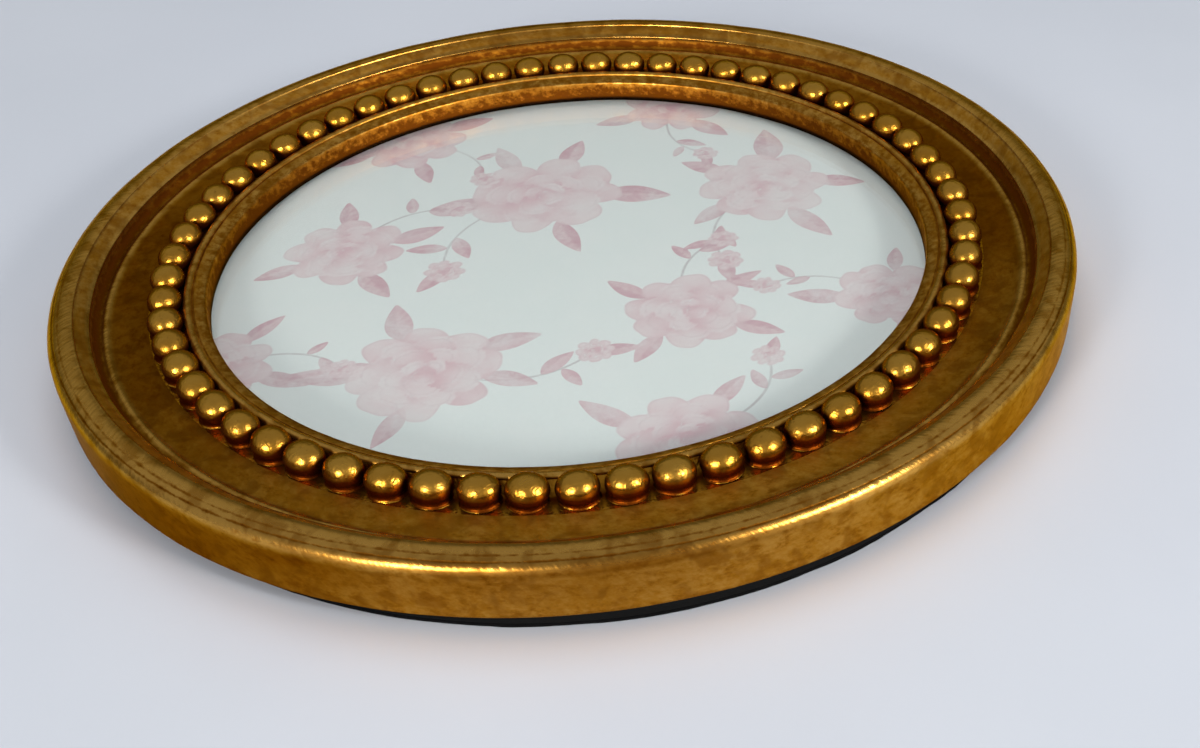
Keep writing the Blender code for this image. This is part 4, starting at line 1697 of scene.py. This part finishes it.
@dataclass
class RearRings:
    """The black board and the felt under the moulding, with a pocket for the leg's foot."""

    outer: float
    inner: float
    pocket_half: float
    pocket_end: float
    facets: int = 360
    edge_inset: float = 0.0014
    near_swell: float = 0.0020
    overhang: float = 0.0006
    swell_angle: float = math.radians(-83)
    swell_spread: float = math.radians(30)
    rib_play: float = 0.0003
    pocket_side_play: float = 0.0010
    pocket_end_play: float = 0.0008

    @classmethod
    def from_frame(cls, moulding: Moulding) -> RearRings:
        """Take the sizes from the CAD nodes and the moulding's rib.

        Args:
            moulding: The ring that they lie under.

        Returns:
            Both rings.
        """
        leg_low, leg_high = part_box("strut_leg")
        rabbet = moulding.glass_radius + moulding.rabbet_play
        return cls(
            outer=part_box("backing_ring")[1].x,
            inner=rabbet + moulding.rib_width + cls.rib_play,
            pocket_half=leg_high.x + cls.pocket_side_play,
            pocket_end=-leg_low.y + cls.pocket_end_play)

    def edge_radius(self, angle: float, roughness: float) -> float:
        """Give the ring's ragged outer radius, which stands out most at the near side.

        Args:
            angle: The place round the ring, from -pi to pi.
            roughness: How ragged the edge is.

        Returns:
            The radius.
        """
        away = (angle - self.swell_angle) / self.swell_spread
        swell = self.near_swell * math.exp(-away * away)
        around = Vector((math.cos(angle), math.sin(angle), 0.0))
        ragged = noise.noise(around * 9.0) + 0.5 * noise.noise(around * 45.0)
        return min(self.outer + self.overhang, self.outer - self.edge_inset + swell + roughness * ragged)

    def ring(self, low: float, high: float, eased: float, roughness: float) -> Shape:
        """Turn one ring and make its outer edge ragged.

        Args:
            low: The height of its rear face.
            high: The height of its front face.
            eased: How much its edges are rounded.
            roughness: How ragged its outer edge is.

        Returns:
            The ring.
        """
        profile = arc((self.outer - eased, low + eased), (eased, eased), -90, 0, 3)
        profile += arc((self.outer - eased, high - eased), (eased, eased), 0, 90, 3)
        profile += [(self.inner, high), (self.inner, low)]
        shape = turned(profile, self.facets, True)
        for point in shape.verts:
            radius = flat_radius(point.co)
            if radius > (self.inner + self.outer) / 2:
                edge = self.edge_radius(math.atan2(point.co.y, point.co.x), roughness)
                factor = (radius - self.outer + edge) / radius
                point.co.x *= factor
                point.co.y *= factor
        return shape

    def pocket(self, low: float, high: float) -> Shape:
        """Make the block that cuts the foot's pocket.

        Args:
            low: The height of the ring's rear face.
            high: The height of its front face.

        Returns:
            The block.
        """
        margin = 0.001
        return block(
            (-self.pocket_half, -self.pocket_end, low - margin), (self.pocket_half, 0.0, high + margin))

    def build(self, board: Material, felt: Material) -> None:
        """Build both rings.

        Args:
            board: The backing's finish.
            felt: The felt's finish.
        """
        plans = (
            ("backing_board", "backing_ring", board, Slot.BOARD, 0.00025, 0.00010),
            ("felt_facing", "felt_ring", felt, Slot.FELT, 0.00030, 0.00022))
        for name, node, material, slot, eased, roughness in plans:
            low, high = (corner.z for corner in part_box(node))
            shape = self.ring(low, high, eased, roughness)
            piece = finish_piece(name, shape, material, node)
            cut_away(piece, self.pocket(low, high))


@dataclass
class EaselBack:
    """The back panel, the easel leg and the hinge between them."""

    hinge: Vector
    panel_radius: float
    panel_low: float
    panel_top: float
    leaf_half: float
    leaf_end: float
    leaf_top: float
    neck_half: float = 0.0040
    shoulder_half: float = 0.0080
    shoulder_slope: float = 0.0030
    knuckle_radius: float = 0.00075
    knuckle_play: float = 0.0003
    leaf_thickness: float = 0.0005
    leg_thickness: float = 0.0008
    rib_half: float = 0.0020
    rib_margin: float = 0.0100
    rib_slope: float = 0.95
    knuckle_ease: float = 0.00012
    panel_ease: float = 0.0002
    leaf_round: float = 0.0020
    leaf_rim: float = 0.00010
    leg_rim: float = 0.00012
    foot_round: float = 0.0040
    pin_radius: float = 0.00035
    pin_head: float = 0.0003
    pin_head_radius: float = 0.0006
    rivet_head: float = 0.0005
    rivet_shank: float = 0.0009
    rivet_dimple: float = 0.00006
    dimple_share: float = 0.25
    dimple_edge: float = 0.00005

    @classmethod
    def from_frame(cls) -> EaselBack:
        """Take the sizes from the CAD nodes and the hinge's joint.

        Returns:
            The panel, the leg and the hinge.
        """
        joint = next(joint for joint in frame["joints"] if joint["name"] == "strut_hinge")
        panel_low, panel_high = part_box("back_panel")
        leaf_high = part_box("hinge_plate")[1]
        return cls(
            hinge=Vector(joint["pos_m"]),
            panel_radius=panel_high.x, panel_low=panel_low.z, panel_top=panel_high.z,
            leaf_half=leaf_high.x, leaf_end=leaf_high.y, leaf_top=leaf_high.z)

    def rod(self, profile: Sequence[Point], facets: int = 24) -> Shape:
        """Turn a profile and lay it along the hinge's axis.

        Args:
            profile: Its radii and places along the axis.
            facets: How many facets go round it.

        Returns:
            The rod.
        """
        shape = turned(profile, facets, False)
        move(shape, Matrix.Translation(self.hinge) @ Matrix.Rotation(math.pi / 2, 4, "Y"))
        return shape

    def knuckle(self, start: float, end: float) -> Shape:
        """Make a rolled knuckle with eased ends.

        Args:
            start: Where it starts along the axis.
            end: Where it ends.

        Returns:
            The knuckle.
        """
        eased = self.knuckle_ease
        radius = self.knuckle_radius
        small = radius - eased
        profile = [(0.0, start), (small, start), (radius, start + eased)]
        return self.rod(profile + [(radius, end - eased), (small, end), (0.0, end)])

    def build_panel(self, material: Material) -> Piece:
        """Turn the back panel with slightly crushed edges.

        Args:
            material: The hardboard.

        Returns:
            The panel.
        """
        eased = self.panel_ease
        radius = self.panel_radius
        profile = [(0.0, self.panel_low), (0.5 * radius, self.panel_low)]
        profile += arc((radius - eased, self.panel_low + eased), (eased, eased), -90, 0, 3)
        profile += arc((radius - eased, self.panel_top - eased), (eased, eased), 0, 90, 3)
        profile += [(0.5 * radius, self.panel_top), (0.0, self.panel_top)]
        shape = turned(profile, 240, False)
        return finish_piece("back_board", shape, material, "back_panel")

    def build_hinge(self, steel: Material, zinc: Material) -> None:
        """Build the hinge's leaf with its knuckles, and its pin.

        Args:
            steel: The leaf's finish.
            zinc: The pin's finish.
        """
        notch = self.neck_half + self.knuckle_play
        depth = self.knuckle_radius + self.knuckle_play
        half = self.leaf_half
        y = self.hinge.y
        corners = [
            (notch, y), (half, y), (half, self.leaf_end), (-half, self.leaf_end), (-half, y), (-notch, y),
            (-notch, y + depth), (notch, y + depth)]
        rear = self.leaf_top - self.leaf_thickness
        shape = plate(corners, rear, self.leaf_top, self.leaf_rim, slice(2, 4), self.leaf_round)
        add_shape(shape, self.knuckle(notch, half))
        add_shape(shape, self.knuckle(-half, -notch))
        finish_piece("hinge_leaf", shape, steel, "hinge_plate")
        pin_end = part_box("hinge_pin")[1].x
        neck = pin_end - self.pin_head
        side = arc((0.0, neck), (self.pin_head_radius, self.pin_head), 90, 0, 4)
        profile = side + [(self.pin_radius, neck), (self.pin_radius, -neck)]
        profile += [(across, -along) for across, along in reversed(side)]
        profile[0] = (0.0, pin_end)
        profile[-1] = (0.0, -pin_end)
        finish_piece("hinge_wire", self.rod(profile), zinc, "hinge_pin")

    def build_leg(self, material: Material) -> Piece:
        """Build the pressed leg with its rib and rolled knuckle.

        Args:
            material: The leg's finish.

        Returns:
            The leg.
        """
        low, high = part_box("strut_leg")
        y, z = self.hinge.yz
        half = self.leg_thickness / 2
        shoulder_top = y - self.knuckle_radius - self.knuckle_play
        right = [(self.neck_half, y), (self.neck_half, shoulder_top)]
        right += [(self.shoulder_half, shoulder_top - self.shoulder_slope)]
        eased = self.foot_round
        right += arc((high.x - eased, low.y + eased), (eased, eased), 0, -90, 8)
        outline = right + [(-px, py) for px, py in reversed(right)]
        shape = plate(outline, z - half, z + half, self.leg_rim)
        add_shape(shape, self.knuckle(-self.neck_half, self.neck_half))
        top = y - self.rib_margin - self.rib_half
        bottom = low.y + self.rib_margin + self.rib_half
        ends = arc((0.0, top), (self.rib_half, self.rib_half), 0, 180, 10)
        ends += arc((0.0, bottom), (self.rib_half, self.rib_half), 180, 360, 10)
        add_shape(shape, plate(ends, low.z, z, (z - half - low.z) * self.rib_slope))
        return finish_piece("easel_leg", shape, material, "strut_leg", Body.STRUT.value)

    def build_rivets(self, material: Material) -> None:
        """Build the two rivets, each a low dome with a drawn centre.

        Args:
            material: The zinc plate.
        """
        for node in ("rivet_left", "rivet_right"):
            low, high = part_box(node)
            radius = (high.x - low.x) / 2
            seat = low.z + self.rivet_head
            centre = (low + high) / 2
            dome = arc((0.0, seat), (radius, self.rivet_head), -90, 0, 7)
            profile = [(0.0, low.z + self.rivet_dimple)]
            profile += [(self.dimple_share * radius, low.z + self.dimple_edge)] + dome[2:]
            profile += [(self.rivet_shank, seat), (self.rivet_shank, high.z), (0.0, high.z)]
            shape = turned(profile, 28, False)
            move(shape, Matrix.Translation((centre.x, centre.y, 0.0)))
            finish_piece("panel_" + node, shape, material, node)


@dataclass
class TurnButtons:
    """The four brass turn buttons and the screws that they pivot on."""

    head_radius: float = 0.0034
    tip_radius: float = 0.0016
    reach: float = 0.0101
    slot_width: float = 0.00055
    slot_depth: float = 0.00035
    rim: float = 0.00014
    screw_head: float = 0.0006
    screw_shank: float = 0.0009
    screw_point: float = 0.0012
    seed: int = 11

    def outline(self) -> list[Point]:
        """Give a button's outline about its pivot, with its tip along +X.

        Returns:
            The corners, in order.
        """
        tip = self.reach - self.tip_radius
        lean = math.degrees(math.acos((self.head_radius - self.tip_radius) / tip))
        head = arc((0.0, 0.0), (self.head_radius, self.head_radius), lean, 360 - lean, 22)
        return head + arc((tip, 0.0), (self.tip_radius, self.tip_radius), -lean, lean, 12)

    def build_button(self, number: int, pivot: Vector, material: Material) -> Piece:
        """Build one button, pointing at the middle of the panel.

        Args:
            number: Which button it is.
            pivot: The centre of its screw.
            material: The brass.

        Returns:
            The button.
        """
        node = f"turn_button_{number}"
        low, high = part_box(node)
        shape = plate(self.outline(), low.z, high.z, self.rim)
        turn = math.atan2(pivot.y, pivot.x) + math.pi
        move(shape, Matrix.Translation((pivot.x, pivot.y, 0.0)) @ Matrix.Rotation(turn, 4, "Z"))
        body = Body.BUTTON.value.format(number)
        return finish_piece(f"brass_button_{number}", shape, material, node, body)

    def build_screw(
        self, number: int, pivot: Vector, turn: float, material: Material,
    ) -> Piece:
        """Build one slotted round-head screw.

        Args:
            number: Which screw it is.
            pivot: Its centre.
            turn: How its slot is turned.
            material: The zinc plate.

        Returns:
            The screw.
        """
        node = f"button_screw_{number}"
        low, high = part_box(node)
        radius = (high.x - low.x) / 2
        head, shank = self.screw_head, self.screw_shank
        profile = arc((0.0, low.z + head), (radius, head), -90, 0, 8)
        profile[0] = (0.0, low.z)
        profile += [(shank, low.z + head), (shank, high.z - self.screw_point), (0.0, high.z)]
        shape = turned(profile, 36, False)
        place = Matrix.Translation((pivot.x, pivot.y, 0.0)) @ Matrix.Rotation(turn, 4, "Z")
        move(shape, place)
        piece = finish_piece(f"slotted_screw_{number}", shape, material, node)
        half = self.slot_width / 2
        tool = block((-2 * radius, -half, low.z - head), (2 * radius, half, low.z + self.slot_depth))
        move(tool, place)
        cut_away(piece, tool)
        return piece

    def build(self, brass: Material, zinc: Material) -> None:
        """Build every button and its screw.

        Args:
            brass: The buttons' finish.
            zinc: The screws' finish.
        """
        draw = random.Random(self.seed)
        pivots = {joint["child"]: Vector(joint["pos_m"]) for joint in frame["joints"]}
        for number in range(1, 5):
            pivot = pivots[Body.BUTTON.value.format(number)]
            self.build_button(number, pivot, brass)
            self.build_screw(number, pivot, draw.uniform(0.0, math.pi), zinc)


@dataclass(frozen=True)
class Lamp:
    """A round or square lamp that points at the frame."""

    name: str
    place: tuple[float, float, float]
    width: float
    power: float
    colour: Colour
    shape: str = "DISK"
    mirrored: bool = True
    lighting: bool = True

    def build(self) -> None:
        """Add the lamp to the scene."""
        data = bpy.data.lights.new(self.name, "AREA")
        data.shape = self.shape
        data.size = self.width
        data.energy = self.power
        data.color = self.colour
        lamp = place_object(self.name, data)
        lamp.location = self.place
        lamp.visible_glossy = self.mirrored
        lamp.visible_diffuse = self.lighting
        lamp.rotation_euler = (-Vector(self.place)).to_track_quat("-Z", "Y").to_euler()


class Studio:
    """The table top, the lamps and the room's light."""

    FLOOR_HALF = 4.0
    ROOM_LOW = 0.13
    ROOM_HIGH = 0.46
    SKYLINE = 0.14
    SKYLINE_HEIGHT = (0.08, 0.26)
    ROOM_RISE = (0.08, 0.31)
    DARK_SIDE = math.radians(20)
    ROOM_COLOUR = (0.96, 0.98, 1.0, 1.0)
    LEFT = (-0.43, -0.66, 0.33)
    RIGHT = (0.54, -0.54, 0.385)
    OVERHEAD = (0.0, 0.20, 0.80)
    WINDOW_LIGHT = (1.0, 0.98, 0.95)
    SKY_LIGHT = (0.98, 0.99, 1.0)
    LAMPS = (
        Lamp("window_left", LEFT, 0.18, 2.8, WINDOW_LIGHT),
        Lamp("window_right", RIGHT, 0.18, 3.0, WINDOW_LIGHT),
        Lamp("glint_left", LEFT, 0.18, 7.5, WINDOW_LIGHT, lighting=False),
        Lamp("glint_right", RIGHT, 0.18, 8.0, WINDOW_LIGHT, lighting=False),
        Lamp("soft_overhead", OVERHEAD, 0.50, 1.85, SKY_LIGHT, "SQUARE", mirrored=False),
    )

    def build_floor(self) -> None:
        """Lay the table top under the frame."""
        shape = bmesh.new()
        bmesh.ops.create_grid(shape, x_segments=8, y_segments=8, size=self.FLOOR_HALF)
        mesh = take_mesh("table_top", shape)
        mesh.materials.append(FloorFinish().material())
        floor = place_object("table_top", mesh)

    def build_world(self) -> None:
        """Light the room softly: dim at the back, brighter overhead and in front, with a pale skyline."""
        world = bpy.data.worlds.new("room")
        bpy.context.scene.world = world
        world.use_nodes = True
        nodes = world.node_tree.nodes
        links = world.node_tree.links
        sky = nodes["Background"]
        direction = nodes.new("ShaderNodeTexCoord").outputs["Generated"]
        total = nodes.new("ShaderNodeMath")
        lean = (0.0, -math.sin(self.DARK_SIDE), math.cos(self.DARK_SIDE))
        ranges = (
            (lean, (*self.ROOM_RISE, self.ROOM_LOW, self.ROOM_HIGH)),
            ((0.0, 0.0, 1.0), (*self.SKYLINE_HEIGHT, self.SKYLINE, 0.0)))
        for socket, (axis, steps) in zip(total.inputs, ranges):
            along = nodes.new("ShaderNodeVectorMath")
            along.operation = "DOT_PRODUCT"
            along.inputs[1].default_value = axis
            links.new(direction, along.inputs[0])
            level = nodes.new("ShaderNodeMapRange")
            level.interpolation_type = "SMOOTHSTEP"
            for item, value in zip(level.inputs[1:5], steps):
                item.default_value = value
            links.new(along.outputs["Value"], level.inputs[0])
            links.new(level.outputs[0], socket)
        links.new(total.outputs[0], sky.inputs["Strength"])
        sky.inputs["Color"].default_value = self.ROOM_COLOUR

    def build(self) -> None:
        """Build the floor, the lamps and the room."""
        self.build_floor()
        self.build_world()
        for lamp in self.LAMPS:
            lamp.build()


@dataclass(frozen=True)
class PhotoCamera:
    """The photograph's camera, placed about the middle of the ring of pearls."""

    aim: tuple[float, float, float]
    distance: float = 0.32925
    elevation: float = math.radians(30.78)
    yaw: float = math.radians(4.79)
    pitch: float = math.radians(5.48)
    roll: float = math.radians(5.90)
    lens: float = 48.0
    sensor: float = 36.0
    shift: float = -0.09875

    def build(self) -> None:
        """Add the camera and make it the scene's."""
        back = Vector((0.0, -math.cos(self.elevation), math.sin(self.elevation)))
        right = Vector((1.0, 0.0, 0.0))
        level = Matrix((right, back.cross(right), back))
        aside = Matrix.Rotation(self.yaw, 3, "Y")
        down = Matrix.Rotation(self.pitch, 3, "X")
        tilt = Matrix.Rotation(self.roll, 3, "Z")
        facing = (tilt @ down @ aside @ level).transposed()
        data = bpy.data.cameras.new("photo_camera")
        data.lens = self.lens
        data.sensor_width = self.sensor
        data.shift_x = self.shift
        camera = place_object("photo_camera", data)
        place = Vector(self.aim) + back * self.distance
        camera.matrix_world = Matrix.Translation(place) @ facing.to_4x4()
        bpy.context.scene.camera = camera


def main() -> None:
    """Build the frame's pieces from the front to the back, then the studio."""
    logging.basicConfig(level=logging.INFO, format="%(message)s")
    bpy.context.scene.view_settings.view_transform = "Standard"
    moulding = Moulding.from_frame()
    moulding.build(GiltFinish().material())
    pearls = PearlStrip.from_frame(moulding)
    pearls.build(PearlFinish().material())
    glazing = Glazing.from_frame()
    glazing.build_glass(GlassFinish().material())
    glazing.build_print(PrintFinish().material())
    RearRings.from_frame(moulding).build(BoardFinish().material(), FeltFinish().material())
    steel = BLACKED_STEEL.material()
    zinc = ZINC_PLATE.material()
    easel = EaselBack.from_frame()
    easel.build_panel(HardboardFinish().material())
    easel.build_hinge(steel, zinc)
    easel.build_leg(steel)
    easel.build_rivets(zinc)
    TurnButtons().build(BRASS_PLATE.material(), zinc)
    Studio().build()
    PhotoCamera((0.0, 0.0, pearls.height)).build()


if __name__ == "__main__":
    main()
